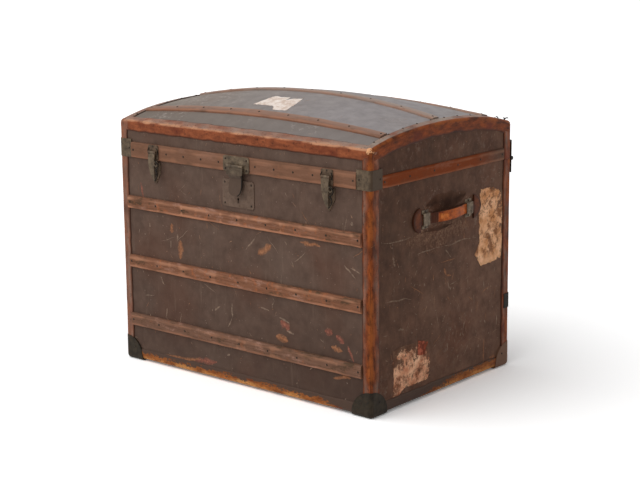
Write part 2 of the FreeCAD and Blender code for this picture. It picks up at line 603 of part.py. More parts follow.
def make_hasp():
    y, z = s.clasp_axis_y, s.hasp_axis_z
    solid("hasp_plate", clasp_plate(0, s.hasp_plate_width, s.lid_foot, s.lid_foot + s.band_height, z,
                                    s.hasp_width, s.hasp_knuckle))
    half = s.hasp_sheet / 2
    tongue_in = s.lock_face - s.free_gap
    tongue_out = tongue_in - s.hasp_sheet
    shoulder, foot = z - s.hasp_leaf, z - s.hasp_leaf - s.hasp_crank

    def plate_of(width, points):
        corners = [V(-width / 2, across, height) for across, height in points]
        return extruded(outline(corners), V(width, 0, 0))

    neck_top = z - s.clasp_barrel - s.free_gap
    out, back, tip = y - half, y + half, z - s.hasp_reach
    leaf = plate_of(s.hasp_width, [(out, neck_top), (out, shoulder), (back, shoulder), (back, neck_top)])
    neck = plate_of(s.hasp_knuckle, [(out, z), (out, neck_top), (back, neck_top), (back, z)])
    tongue = plate_of(s.tongue_width, [(out, shoulder), (tongue_out, foot), (tongue_out, tip),
                                       (tongue_in, tip), (tongue_in, foot), (back, shoulder)])
    tongue = rounded(tongue, s.tongue_round,
                     lambda centre, edge: centre.z < tip + half and edge.BoundBox.YLength > half)
    barrel = rod(s.clasp_barrel, -s.hasp_knuckle / 2, s.hasp_knuckle / 2, y, z)
    rise = s.eye_height / 2 + s.staple_wall
    staple = span_box((-s.staple_width / 2, tongue_in, s.eye_z - rise),
                      (s.staple_width / 2, s.front_face + s.staple_depth, s.eye_z + rise))
    eye = span_box((-s.staple_width, s.eye_y - s.eye_length / 2, s.eye_z - s.eye_height / 2),
                   (s.staple_width, s.eye_y + s.eye_length / 2, s.eye_z + s.eye_height / 2))
    hasp = leaf.multiFuse([neck, tongue, barrel, staple.cut(eye)]).removeSplitter()
    hasp = hasp.cut(rod(s.clasp_pin + s.pin_play, -s.hasp_width, s.hasp_width, y, z))
    hasp.rotate(V(0, y, z), V(-1, 0, 0), s.hasp_rest_angle)
    solid("hasp", hasp)
    slot = [("-staple_width / 2 - slot_side", "front_face - iron_sheet - overrun",
             "eye_z - eye_height / 2 - staple_wall - slot_play"),
            ("staple_width / 2 + slot_side", "front_face + case_depth - case_wall",
             "eye_z + eye_height / 2 + staple_wall + slot_play")]
    plate = bar("lock_plate", ("-lock_plate_width / 2", "lock_face", "lock_foot"),
                ("lock_plate_width / 2", "front_face", "lock_top"))
    block = plate.Tip
    corners = plate.newObject("PartDesign::Fillet", "lock_plate_round")
    corners.Base = (block, [f"Edge{number}" for number, edge in enumerate(block.Shape.Edges, start=1)
                            if edge.BoundBox.YLength > s.iron_sheet / 2])
    corners.setExpression("Radius", expression("plate_round"))
    inside(plate, "SubtractiveBox", *slot)
    slit = [("-keyhole_slit / 2", "lock_face - overrun", "keyhole_z - keyhole_drop"),
            ("keyhole_slit / 2", "front_face + overrun", "keyhole_z")]
    inside(plate, "SubtractiveBox", *slit)
    hole = plate.newObject("PartDesign::SubtractiveCylinder", "keyhole")
    hole.setExpression("Radius", expression("keyhole_radius"))
    hole.setExpression("Height", expression("iron_sheet + 2 * overrun"))
    hole.Placement = FreeCAD.Placement(V(0, 0, 0), FreeCAD.Rotation(V(1, 0, 0), -90))
    hole.setExpression("Placement.Base.x", expression("lock_plate_width / 2"))
    hole.setExpression("Placement.Base.y", expression("-overrun"))
    hole.setExpression("Placement.Base.z", expression("keyhole_z - lock_foot"))
    keep("lock_plate", plate)
    case = bar("lock_case", ("-case_width / 2", "front_face", "lock_mid - case_height / 2"),
               ("case_width / 2", "front_face + case_depth", "lock_mid + case_height / 2"))
    inside(case, "SubtractiveBox", *slot)
    inside(case, "SubtractiveBox",
           ("bolt_rest - bolt_travel - side_play", "front_face - overrun",
            "eye_z - bolt_height / 2 - side_play / 2"),
           ("bolt_rest + bolt_length + side_play", "front_face + side_play + bolt_thick + side_play / 2",
            "eye_z + bolt_height / 2 + side_play / 2"))
    inside(case, "SubtractiveBox", ("-key_room / 2", "front_face - overrun", "keyhole_z - keyhole_drop"),
           ("key_room / 2", "front_face + case_depth - case_wall", "keyhole_z + keyhole_radius"))
    keep("lock_case", case)
    bolt_low = ("bolt_rest + nose_length", "front_face + side_play", "eye_z - bolt_height / 2")
    bolt_high = ("bolt_rest + bolt_length", "front_face + side_play + bolt_thick", "eye_z + bolt_height / 2")
    bolt = bar("lock_bolt", bolt_low, bolt_high)
    inside(bolt, "AdditiveBox", ("bolt_rest", "eye_y - nose_thick / 2", "eye_z - nose_height / 2"),
           ("bolt_rest + nose_length", "eye_y + nose_thick / 2", "eye_z + nose_height / 2"))
    keep("lock_bolt", bolt)


# Spring catches: plate and bowed lever on the lid, keeper on the chest

def make_catches():
    y, z = s.clasp_axis_y, s.catch_axis_z
    half = s.lever_sheet / 2
    tip = z - s.lever_length
    top = z - s.clasp_barrel - s.free_gap
    bow_z = z - s.lever_length * LEVER_BOW_SHARE
    tip_y = s.lock_face - s.tip_gap
    outside = Part.Arc(V(0, y - half, z), V(0, y - half - s.lever_bow, bow_z),
                       V(0, tip_y - s.lever_sheet, tip)).toShape()
    within = Part.Arc(V(0, tip_y, tip), V(0, y + half - s.lever_bow, bow_z), V(0, y + half, z)).toShape()
    ends = [Part.makeLine(V(0, tip_y - s.lever_sheet, tip), V(0, tip_y, tip)),
            Part.makeLine(V(0, y + half, z), V(0, y - half, z))]
    profile = Part.Face(Part.Wire([outside, ends[0], within, ends[1]]))
    waist_z = z - s.lever_length * LEVER_WAIST_SHARE
    waist = s.lever_width / 2 * LEVER_WAIST_WIDTH_SHARE
    back = y - s.box_depth
    right = [V(s.lever_width / 2, back, top), V(waist, back, waist_z), V(s.lever_tip / 2, back, tip)]
    left = [V(-point.x, point.y, point.z) for point in reversed(right)]
    leaf = extruded([Part.Arc(*right).toShape(), Part.makeLine(right[-1], left[0]),
                     Part.Arc(*left).toShape(), Part.makeLine(left[-1], right[0])], V(0, s.box_depth * 2, 0))
    curve = profile.extrude(V(s.lever_width, 0, 0))
    curve.translate(V(-s.lever_width / 2, 0, 0))
    knuckle = s.catch_knuckle / 2
    neck = curve.common(span_box((-knuckle, back, top - s.free_gap), (knuckle, s.front_face, z)))
    ring_x = s.lever_width / 2 + s.ring_radius - s.ring_wire
    ring_mid = V(ring_x, y - s.lever_bow, z - s.ring_drop)
    ring = Part.makeTorus(s.ring_radius, s.ring_wire, ring_mid, V(0, 1, 0))
    barrel = rod(s.clasp_barrel, -knuckle, knuckle, y, z)
    lever = curve.common(leaf).multiFuse([neck, barrel, ring]).removeSplitter()
    lever = lever.cut(rod(s.clasp_pin + s.pin_play, -s.lever_width, s.lever_width, y, z))
    keeper_top = s.seam - s.keeper_drop
    keeper_foot = keeper_top - s.keeper_height
    wide = s.keeper_width / 2
    keeper_waist = keeper_top - s.keeper_height * KEEPER_WAIST_SHARE
    belly = [V(wide, s.lock_face, keeper_top), V(wide, s.lock_face, keeper_waist),
             V(s.lever_tip, s.lock_face, keeper_foot)]
    shield = outline(belly + [V(-point.x, point.y, point.z) for point in reversed(belly)])
    stud = Part.makeCone(s.stud_radius, s.stud_radius / 2, s.stud_height,
                         V(0, s.lock_face, keeper_waist), V(0, -1, 0))
    keeper = extruded(shield, V(0, s.iron_sheet, 0)).fuse(stud)
    plates, pins = [], [clasp_pin(0, s.hasp_width, s.hasp_axis_z)]
    for name, x in (("left", -s.catch_place), ("right", s.catch_place)):
        plates.append(clasp_plate(x, s.catch_plate_width, s.lid_foot, s.lid_foot + s.catch_plate_height, z,
                                  s.catch_barrel_width, s.catch_knuckle))
        pins.append(clasp_pin(x, s.catch_barrel_width, z))
        solid(f"{name}_catch_lever", lever.translated(V(x, 0, 0)))
        solid(f"{name}_keeper", keeper.translated(V(x, 0, 0)))
    solid("catch_plates", Part.makeCompound(plates))
    solid("clasp_pins", Part.makeCompound(pins))


# Strap handle on each end: bridge loops, half-moon strap ends, bends and the grip between them

def make_handles():
    face, y_mid, z_mid = s.end_face, s.handle_y, s.handle_z
    strap_in = face + s.free_gap
    strap_out = strap_in + s.strap_thick
    loop_room = strap_out + s.free_gap
    half = s.strap_width / 2
    room = half + s.free_gap
    loops, tabs = [], {}
    for name, sign in (("front", -1), ("rear", 1)):
        near, far = sorted((s.loop_reach - s.loop_width / 2, s.loop_reach + s.loop_width / 2))
        y_from, y_to = sorted((y_mid + sign * near, y_mid + sign * far))
        bridge = span_box((face, y_from, z_mid - room - s.loop_sheet),
                          (loop_room + s.loop_sheet, y_to, z_mid + room + s.loop_sheet))
        bridge = rounded(bridge, s.loop_sheet, lambda centre, edge: centre.x > loop_room
                         and edge.BoundBox.YLength > s.loop_width / 2)
        bridge = bridge.cut(span_box((face - s.overrun, y_from - s.overrun, z_mid - room),
                                     (loop_room, y_to + s.overrun, z_mid + room)))
        flange = room + s.loop_sheet
        plates = [span_box((face, y_from, z_mid + low), (face + s.loop_sheet, y_to, z_mid + high))
                  for low, high in ((-flange - s.loop_flange, -flange), (flange, flange + s.loop_flange))]
        loops.append(bridge.multiFuse(plates).removeSplitter())
        shoulder = far + s.tab_gap
        y_in, y_out = sorted((y_mid + sign * s.bend_half, y_mid + sign * shoulder))
        strap = span_box((strap_in, y_in, z_mid - half), (strap_out, y_out, z_mid + half))
        edge_y = y_mid + sign * shoulder
        moon = extruded([Part.Arc(V(strap_in, edge_y, z_mid - s.tab_radius),
                                  V(strap_in, edge_y + sign * s.tab_radius, z_mid),
                                  V(strap_in, edge_y, z_mid + s.tab_radius)).toShape(),
                         Part.makeLine(V(strap_in, edge_y, z_mid + s.tab_radius),
                                       V(strap_in, edge_y, z_mid - s.tab_radius))], V(s.strap_thick, 0, 0))
        tabs[name] = strap.fuse(moon).removeSplitter()
    rise = s.grip_bow - s.free_gap
    radius = (s.bend_half ** 2 + rise ** 2) / (2 * rise)
    centre = V(face + s.grip_bow - radius, y_mid, z_mid - half)
    ring = Part.makeCylinder(radius + s.strap_thick, s.strap_width, centre)
    ring = ring.cut(Part.makeCylinder(radius, s.strap_width, centre))

    def arc_piece(y_from, y_to):
        far = face + s.grip_bow + 2 * s.strap_thick
        return ring.common(span_box((face, y_mid + y_from, z_mid - s.strap_width),
                                    (far, y_mid + y_to, z_mid + s.strap_width)))

    grip = arc_piece(-s.grip_half, s.grip_half)
    bends = Part.makeCompound([arc_piece(-s.bend_half, -s.grip_half), arc_piece(s.grip_half, s.bend_half)])
    for end, place_on in (("right", lambda shape: shape), ("left", mirrored)):
        solid(f"{end}_handle_loops", place_on(Part.makeCompound(loops)))
        solid(f"{end}_grip", place_on(grip))
        solid(f"{end}_strap_bends", place_on(bends))
        for name, tab in tabs.items():
            solid(f"{end}_{name}_tab", place_on(tab))


# Round-headed nails

def nail_rows(half, pitch):
    """Evenly spaced places along a strip, no further apart than the pitch."""
    reach = half - s.nail_inset
    count = math.ceil(2 * reach / pitch)
    return [-reach + 2 * reach * number / count for number in range(count + 1)]


def nail_at(x, y, z, outward):
    """A domed nail head on a surface."""
    radius, height = s.nail_radius, s.nail_height
    dome = (radius ** 2 + height ** 2) / (2 * height)
    ball = Part.makeSphere(dome, V(0, 0, height - dome))
    head = ball.common(span_box((-radius, -radius, 0), (radius, radius, height)))
    head.Placement = FreeCAD.Placement(V(x, y, z), FreeCAD.Rotation(V(0, 0, 1), outward))
    return head


def dome_nail(x, y, proud):
    """A nail head on what stands proud of the dome."""
    step = s.nail_radius
    slope_x = (dome_height(x + step, y, -proud) - dome_height(x - step, y, -proud)) / (2 * step)
    slope_y = (dome_height(x, y + step, -proud) - dome_height(x, y - step, -proud)) / (2 * step)
    return nail_at(x, s.depth_shift + y, dome_height(x, y, -proud), V(-slope_x, -slope_y, 1))


def chest_nail_heads():
    front, back = V(0, -1, 0), V(0, 1, 0)
    heads = []
    for number in range(len(SLATS)):
        z = s.foot_height + s.lower_slat + number * s.slat_pitch
        for x in nail_rows(s.slat_end, s.slat_nail_pitch):
            heads.append(nail_at(x, s.front_face - s.slat_thick, z, front))
        for x in nail_rows(s.rear_end, s.slat_nail_pitch):
            heads.append(nail_at(x, s.back_face + s.slat_thick, z, back))
    lock_x = s.lock_plate_width / 2 - s.nail_inset
    cap_z, cap_in = s.foot_height + s.cap_reach / 2, s.cap_reach / 2
    flange = s.strap_width / 2 + s.free_gap + s.loop_sheet + s.loop_flange / 2
    leaf_y = s.back_face + s.edging_thick + s.hinge_leaf
    for side in (-1, 1):
        end = V(side, 0, 0)
        for z in (s.lock_foot + s.nail_inset, s.lock_top - s.nail_inset):
            heads.append(nail_at(side * lock_x, s.lock_face, z, front))
        cap_x = side * (s.end_face - cap_in)
        heads.append(nail_at(cap_x, s.front_face - s.cap_thick, cap_z, front))
        heads.append(nail_at(cap_x, s.back_face + s.cap_thick, cap_z, back))
        for y in (s.front_face + cap_in, s.back_face - cap_in):
            heads.append(nail_at(side * (s.end_face + s.cap_thick), y, cap_z, end))
        for y in (s.handle_y - s.loop_reach, s.handle_y + s.loop_reach):
            for z in (s.handle_z - flange, s.handle_z + flange):
                heads.append(nail_at(side * (s.end_face + s.loop_sheet), y, z, end))
        for x in (s.hinge_in + s.nail_inset, s.hinge_out - s.nail_inset):
            heads.append(nail_at(side * x, leaf_y, s.seam - s.hinge_chest_leaf + s.nail_inset, back))
    return heads


def lid_nail_heads():
    front, back = V(0, -1, 0), V(0, 1, 0)
    heads = []
    iron_y = s.band_face - s.iron_sheet
    bracket_z = s.lid_foot + s.bracket_height / 2
    bracket_in = s.bracket_leg - s.edging_thick - s.nail_inset
    leaf_y = s.back_face + s.edging_thick + s.hinge_leaf
    hasp_x = s.hasp_plate_width / 2 - s.nail_inset
    end_z = s.lid_foot + s.end_band_height / 2
    end_half = (s.box_depth - s.end_leg - s.bracket_leg + s.edging_thick) / 2
    end_mid = s.back_face - s.end_leg - end_half
    arch_x = s.slat_end + s.nail_inset / 2
    for side in (-1, 1):
        end = V(side, 0, 0)
        bracket_x, bracket_y = side * (s.end_face - bracket_in), s.front_face + bracket_in
        heads.append(nail_at(bracket_x, s.front_face - s.bracket_thick, bracket_z, front))
        heads.append(nail_at(side * (s.end_face + s.bracket_thick), bracket_y, bracket_z, end))
        for x in (s.hinge_in + s.nail_inset, s.hinge_out - s.nail_inset):
            heads.append(nail_at(side * x, leaf_y, s.seam + s.hinge_lid_leaf - s.nail_inset, back))
        plate_z = s.lid_foot + s.catch_plate_height - s.nail_inset / 2
        heads.append(nail_at(side * s.catch_place, iron_y, plate_z, front))
        for z in (s.lid_foot + s.nail_inset, s.lid_foot + s.band_height - s.nail_inset):
            heads.append(nail_at(side * hasp_x, iron_y, z, front))
        for y in nail_rows(end_half, s.slat_nail_pitch):
            heads.append(nail_at(side * (s.end_face + s.end_band_thick), end_mid + y, end_z, end))
        for y in nail_rows(s.box_depth / 2 - s.end_leg, s.edge_nail_pitch):
            heads.append(dome_nail(side * arch_x, y, s.edging_thick))
    plates = [(0, s.hasp_plate_width / 2), (-s.catch_place, s.catch_plate_width / 2),
              (s.catch_place, s.catch_plate_width / 2)]
    band_z = s.lid_foot + s.band_height / 2
    for x in nail_rows(s.band_end, s.band_nail_pitch):
        if all(abs(x - middle) > half + s.nail_radius for middle, half in plates):
            heads.append(nail_at(x, s.band_face, band_z, front))
    for x in nail_rows(s.rear_end, s.band_nail_pitch):
        heads.append(nail_at(x, s.back_face + s.band_thick, band_z, back))
    for share in DOME_SLAT_SHARES:
        for x in nail_rows(s.slat_end, s.slat_nail_pitch):
            heads.append(dome_nail(x, share * s.box_depth, s.dome_slat_thick))
    return heads


def make_nails():
    solid("chest_nails", Part.makeCompound(chest_nail_heads()))
    solid("lid_nails", Part.makeCompound(lid_nail_heads()))


make_chest()
make_slats()
make_chest_edging()
make_lid()
make_hinges()
make_hasp()
make_catches()
make_handles()
make_nails()
doc.recompute()

# Check every object, then write the sub-parts
for item in doc.Objects:
    if {"Invalid", "Error"} & set(item.State):
        raise RuntimeError(f"{item.Name} failed: {item.State}")
for label, item in nodes.items():
    if item.Shape.isNull() or not item.Shape.isValid() or not item.Shape.Solids:
        raise RuntimeError(f"{label} has no valid shape")
os.makedirs("parts", exist_ok=True)
for label, item in nodes.items():
    item.Shape.exportStep(f"parts/{label}.step")
whole = FreeCAD.BoundBox()
for item in nodes.values():
    whole.add(item.Shape.optimalBoundingBox())
print(f"{len(nodes)} sub-parts, box {whole.XLength:.1f} x {whole.YLength:.1f} x {whole.ZLength:.1f}, "
      f"middle {whole.Center.x:.2f}, {whole.Center.y:.2f}, foot {whole.ZMin:.2f}")
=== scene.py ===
# %% [markdown]
# # A worn dome top trunk
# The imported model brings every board, hinge and nail of the trunk in one frame, in metres. Shapes that
# are right as they come keep their mesh and get a finish. What time has worn, frayed or torn (slats,
# leather edging, straps, paper) is built here again as surfaces worked out with numpy.

# %% Load the model
import bpy
import bmesh
import numpy as np
from mathutils import Matrix, Vector


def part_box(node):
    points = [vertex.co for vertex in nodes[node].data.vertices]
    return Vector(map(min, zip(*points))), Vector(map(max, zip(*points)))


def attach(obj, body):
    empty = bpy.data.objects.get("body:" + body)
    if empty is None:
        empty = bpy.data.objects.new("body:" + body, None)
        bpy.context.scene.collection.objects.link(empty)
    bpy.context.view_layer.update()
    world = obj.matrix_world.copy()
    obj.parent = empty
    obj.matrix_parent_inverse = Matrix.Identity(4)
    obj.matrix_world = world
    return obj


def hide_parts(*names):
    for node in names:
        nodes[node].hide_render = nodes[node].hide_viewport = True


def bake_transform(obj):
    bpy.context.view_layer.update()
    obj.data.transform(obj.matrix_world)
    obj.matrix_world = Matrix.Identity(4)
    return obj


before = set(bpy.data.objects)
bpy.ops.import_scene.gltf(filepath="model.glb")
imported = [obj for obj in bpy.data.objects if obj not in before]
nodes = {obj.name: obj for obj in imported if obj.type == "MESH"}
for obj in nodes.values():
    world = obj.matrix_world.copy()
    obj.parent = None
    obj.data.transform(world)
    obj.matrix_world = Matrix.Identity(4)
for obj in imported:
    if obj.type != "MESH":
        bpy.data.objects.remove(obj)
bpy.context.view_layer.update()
MM = 0.001

# %% [markdown]
# The trunk's faces come from the canvas of chest and lid, so each new piece starts from the surface that
# carries it. Working in millimetres keeps the numbers readable; the last step turns them to metres.

# %% Faces of the trunk, in millimetres
LID_SIDE = 92.6


def corners(node):
    """Lowest and highest corner of a node's box, in millimetres."""
    return [np.array(corner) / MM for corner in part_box(node)]


chest_low, chest_high = corners("chest_canvas")
lid_low, lid_high = corners("lid_canvas")
END, FRONT, BACK = chest_high[0], chest_low[1], chest_high[1]
FOOT, SEAM, LID_FOOT = chest_low[2], chest_high[2], lid_low[2]
MIDDLE, HALF_DEPTH = (FRONT + BACK) / 2, (BACK - FRONT) / 2
LID_EDGE = SEAM + LID_SIDE
print("end", END, "front", FRONT, "back", BACK, "seam", SEAM, "lid edge", LID_EDGE)

# %% [markdown]
# The dome is an arch that swells towards mid length. One function gives its height anywhere, so a slat, a
# strip of leather or a scrap of paper can lie on it, and its slope gives the direction that stands off it.

# %% Height of the dome
DOME_RISE, DOME_SWELL, SWELL_POWER, CROWN_RADIUS, CROWN_SHARE = 33.0, 42.5, 2.0, 1500.0, 0.26
CROWN_HALF = 2 * HALF_DEPTH * CROWN_SHARE
SLOPE_STEP = 0.5


def dome_height(x, y):
    """Two arcs that meet smoothly: a flat crown near the ridge and a tighter haunch down to the wall.
    Their rise grows from the ends to mid length by one minus a power of the distance."""
    rise = DOME_RISE + DOME_SWELL * (1 - np.minimum(np.abs(x) / END, 1) ** SWELL_POWER)
    crown = CROWN_RADIUS * DOME_RISE / rise
    turn = np.arcsin(CROWN_HALF / crown)
    crown_z = LID_EDGE + rise - crown
    join_z = crown_z + crown * np.cos(turn)
    chord_y, chord_z = HALF_DEPTH - CROWN_HALF, LID_EDGE - join_z
    haunch = (chord_y ** 2 + chord_z ** 2) / (-2 * (np.sin(turn) * chord_y + np.cos(turn) * chord_z))
    across = np.minimum(np.abs(y - MIDDLE), HALF_DEPTH)
    on_crown = crown_z + np.sqrt(np.maximum(crown ** 2 - across ** 2, 0))
    middle_y, middle_z = CROWN_HALF - np.sin(turn) * haunch, join_z - np.cos(turn) * haunch
    on_haunch = middle_z + np.sqrt(np.maximum(haunch ** 2 - (across - middle_y) ** 2, 0))
    return np.where(across < CROWN_HALF, on_crown, on_haunch)


# %% Points off the dome

def unit(vector):
    """The same direction with length one."""
    return vector / np.linalg.norm(vector, axis=-1, keepdims=True)


def on_dome(x, y, height):
    """A point that stands off the dome by a height, along the normal found from the slopes both ways."""
    slope_x = (dome_height(x + SLOPE_STEP, y) - dome_height(x - SLOPE_STEP, y)) / (2 * SLOPE_STEP)
    slope_y = (dome_height(x, y + SLOPE_STEP) - dome_height(x, y - SLOPE_STEP)) / (2 * SLOPE_STEP)
    normal = unit(np.stack([-slope_x, -slope_y, np.ones_like(slope_x)], axis=-1))
    point = np.stack([x + 0 * slope_x, y + 0 * slope_x, dome_height(x, y)], axis=-1)
    return point + height[..., None] * normal


print("dome top", float(dome_height(np.array(0.0), np.array(MIDDLE))), "CAD", lid_high[2])

# %% [markdown]
# Nothing on an old trunk is straight. A seeded field of smooth lumps stands for the rubbing, drying and
# nibbling that made it so: a coarse grid of random values is blended to the fine grid of the piece.

# %% Smooth irregularity

def easing(count, knots):
    """Weights that blend knots to count samples, each sample between two knots by a smooth step."""
    place = np.linspace(0, knots - 1 - 1e-6, count)
    low = place.astype(int)
    share = place - low
    share = share * share * (3 - 2 * share)
    weights = np.zeros((count, knots))
    weights[np.arange(count), low] = 1 - share
    weights[np.arange(count), low + 1] = share
    return weights


def lumps(rows, columns, knots, seed):
    """Random values from -1 to 1 on a coarse grid of knots, eased both ways to rows by columns."""
    coarse = np.random.default_rng(seed).uniform(-1, 1, knots)
    return easing(rows, knots[0]) @ coarse @ easing(columns, knots[1]).T


def ripple(count, knots, seed):
    """The same along a line."""
    return lumps(count, 1, (knots, 2), seed)[:, 0]


print("ripple", np.round(ripple(5, 4, 1), 2))

# %% [markdown]
# Every new piece is a set of closed tubes: rings of points carried along a path, with a flat cap on each
# end. Point values such as wear go along as attributes for the finish, and a UV map holds the distance
# along the path and round the ring, so wood grain can follow a bent slat.

# %% From rings of points to a piece
MERGE, FLAT, SHARP = 1e-6, 1e-7, np.radians(50)


def ring_quads(rows, columns):
    """Corner numbers of the quads between neighbouring rings, and their places along and round the tube."""
    row, column = np.meshgrid(np.arange(rows - 1), np.arange(columns), indexing="ij")
    rows_of = np.stack([row, row, row + 1, row + 1], axis=-1).reshape(-1, 4)
    columns_of = np.stack([column, column + 1, column + 1, column], axis=-1).reshape(-1, 4)
    return rows_of, columns_of


def lengths(points, axis):
    """Distance travelled along an axis of a grid of points, as a mean over the other axis."""
    steps = np.linalg.norm(np.diff(points, axis=axis), axis=-1).mean(axis=1 - axis)
    return np.concatenate([[0.0], np.cumsum(steps)])


# %% Closed seams

def close_seams(mesh):
    """Merge points that meet at poles, turn every face outwards, and smooth all but sharp edges."""
    work = bmesh.new()
    work.from_mesh(mesh)
    bmesh.ops.remove_doubles(work, verts=work.verts, dist=MERGE)
    bmesh.ops.dissolve_degenerate(work, edges=work.edges, dist=FLAT)
    bmesh.ops.recalc_face_normals(work, faces=work.faces)
    work.to_mesh(mesh)
    work.free()
    mesh.shade_smooth()
    mesh.set_sharp_from_angle(angle=SHARP)


# %% One object from its tubes

def piece(name, parts, body, material, stands_for=()):
    """One object from closed tubes. Each part is a dictionary: points (rings, points, 3) in millimetres,
    and values named for what they say about each point."""
    points, faces, places, first = [], [], [], 0
    values = {key: [] for key in parts[0] if key != "points"}
    for part in parts:
        tube = part["points"]
        rows, columns = tube.shape[:2]
        rows_of, columns_of = ring_quads(rows, columns)
        faces += (first + rows_of * columns + columns_of % columns).tolist()
        faces += [(first + start + np.arange(columns)).tolist() for start in (0, (rows - 1) * columns)]
        around = lengths(np.concatenate([tube, tube[:, :1]], axis=1), 1)
        places.append(np.stack([lengths(tube, 0)[rows_of], around[columns_of]], axis=-1).reshape(-1, 2))
        places.append(np.zeros((2 * columns, 2)))
        points.append(tube.reshape(-1, 3))
        for key in values:
            values[key].append(np.broadcast_to(part[key], (rows, columns)).reshape(-1))
        first += rows * columns
    mesh = bpy.data.meshes.new(name)
    mesh.from_pydata((np.concatenate(points) * MM).tolist(), [], faces)
    mesh.uv_layers.new(name="grain").uv.foreach_set("vector", (np.concatenate(places) * MM).ravel())
    for key, value in values.items():
        mesh.attributes.new(key, "FLOAT", "POINT").data.foreach_set("value", np.concatenate(value))
    close_seams(mesh)
    mesh.materials.append(material)
    made = bpy.data.objects.new(name, mesh)
    bpy.context.scene.collection.objects.link(made)
    if body:
        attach(made, body)
    if stands_for:
        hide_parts(*stands_for)
    print(name, len(mesh.polygons), "faces")
    return made


# %% [markdown]
# Colours are written as they look on a screen and turned to the linear values that the shader mixes. One
# small function adds a node, sets its sockets or links them, and hands back the output to use next. An old
# surface is coat over coat: each coat shows where some field, such as a noise or a height, runs from one
# value to another, so a whole finish is a list of coats.

# %% Colours and nodes

def paint(code):
    """sRGB hex to linear red, green, blue and full alpha: the usual power curve with its straight foot."""
    shade = np.array([int(code[place:place + 2], 16) for place in (1, 3, 5)]) / 255
    linear = np.where(shade <= 0.04045, shade / 12.92, ((shade + 0.055) / 1.055) ** 2.4)
    return (*linear.tolist(), 1.0)


def add(tree, kind, inputs=None, out=0, **settings):
    """Add a node with its settings, give named inputs a value, colour code or link, and return an output."""
    made = tree.nodes.new("ShaderNode" + kind)
    for name, value in settings.items():
        setattr(made, name, value)
    for socket, value in (inputs or {}).items():
        if isinstance(value, bpy.types.NodeSocket):
            tree.links.new(value, made.inputs[socket])
        else:
            made.inputs[socket].default_value = paint(value) if isinstance(value, str) else value
    return made.outputs[out]


# %% Coats of colour

def coats(tree, colour, *layers):
    """Coats laid over a colour. Each has its colour, a field, the values of that field where it starts and
    where it is full, its share when full, and any masks that hold it back."""
    for coat, field, start, full, share, *masks in layers:
        shown = add(tree, "MapRange", {"Value": field, "From Min": start, "From Max": full, "To Max": share})
        for mask in masks:
            shown = add(tree, "Math", {0: shown, 1: mask}, operation="MULTIPLY")
        colour = add(tree, "Mix", {0: shown, 6: colour, 7: coat}, 2, data_type="RGBA")
    return colour


# %% Materials

def finish(name, **sockets):
    """A named material with its shader's plain sockets set, its node tree, and the place in the model."""
    made = bpy.data.materials.new(name)
    made.use_nodes = True
    shader = made.node_tree.nodes["Principled BSDF"]
    for socket, value in sockets.items():
        shader.inputs[socket.replace("_", " ")].default_value = value
    return made, made.node_tree, add(made.node_tree, "TexCoord", out="Object")


def surface(tree, colour, height=None, strength=0.0, depth=0.0):
    """Link a colour to the shader and, where a height is given, the relief that follows it."""
    shader = tree.nodes["Principled BSDF"]
    tree.links.new(colour, shader.inputs["Base Color"])
    if height is not None:
        relief = add(tree, "Bump", {"Height": height, "Strength": strength, "Distance": depth})
        tree.links.new(relief, shader.inputs["Normal"])


def dress(material, *names):
    """Give a finish to nodes that keep their mesh."""
    for name in names:
        mesh = nodes[name].data
        mesh.materials.clear()
        mesh.materials.append(material)


print("mid brown", np.round(paint("#5d4b42"), 3))

# %% [markdown]
# The cover is cotton canvas, sized and painted dark brown, then scuffed for a century. The paint fills the
# threads, so what the eye sees is dull paint: blotches as wide as a hand, mottling as wide as a thumb, faint
# upright rubs and pin-head nicks. The dome has lost its brown and turned grey under dust, and a painted sheen
# keeps its grey light and lighter still towards the right, so height and length pick out the dome from the
# walls. The ends are a warmer, cloudy brown, dusty low down at the back, and the front is grimy near the
# floor. Ends and dome are scuffed in patches. The colour is a function, because marks that lie on the cover
# fade into the same colour at their edges.

# %% Painted canvas
SKIN = 0.4


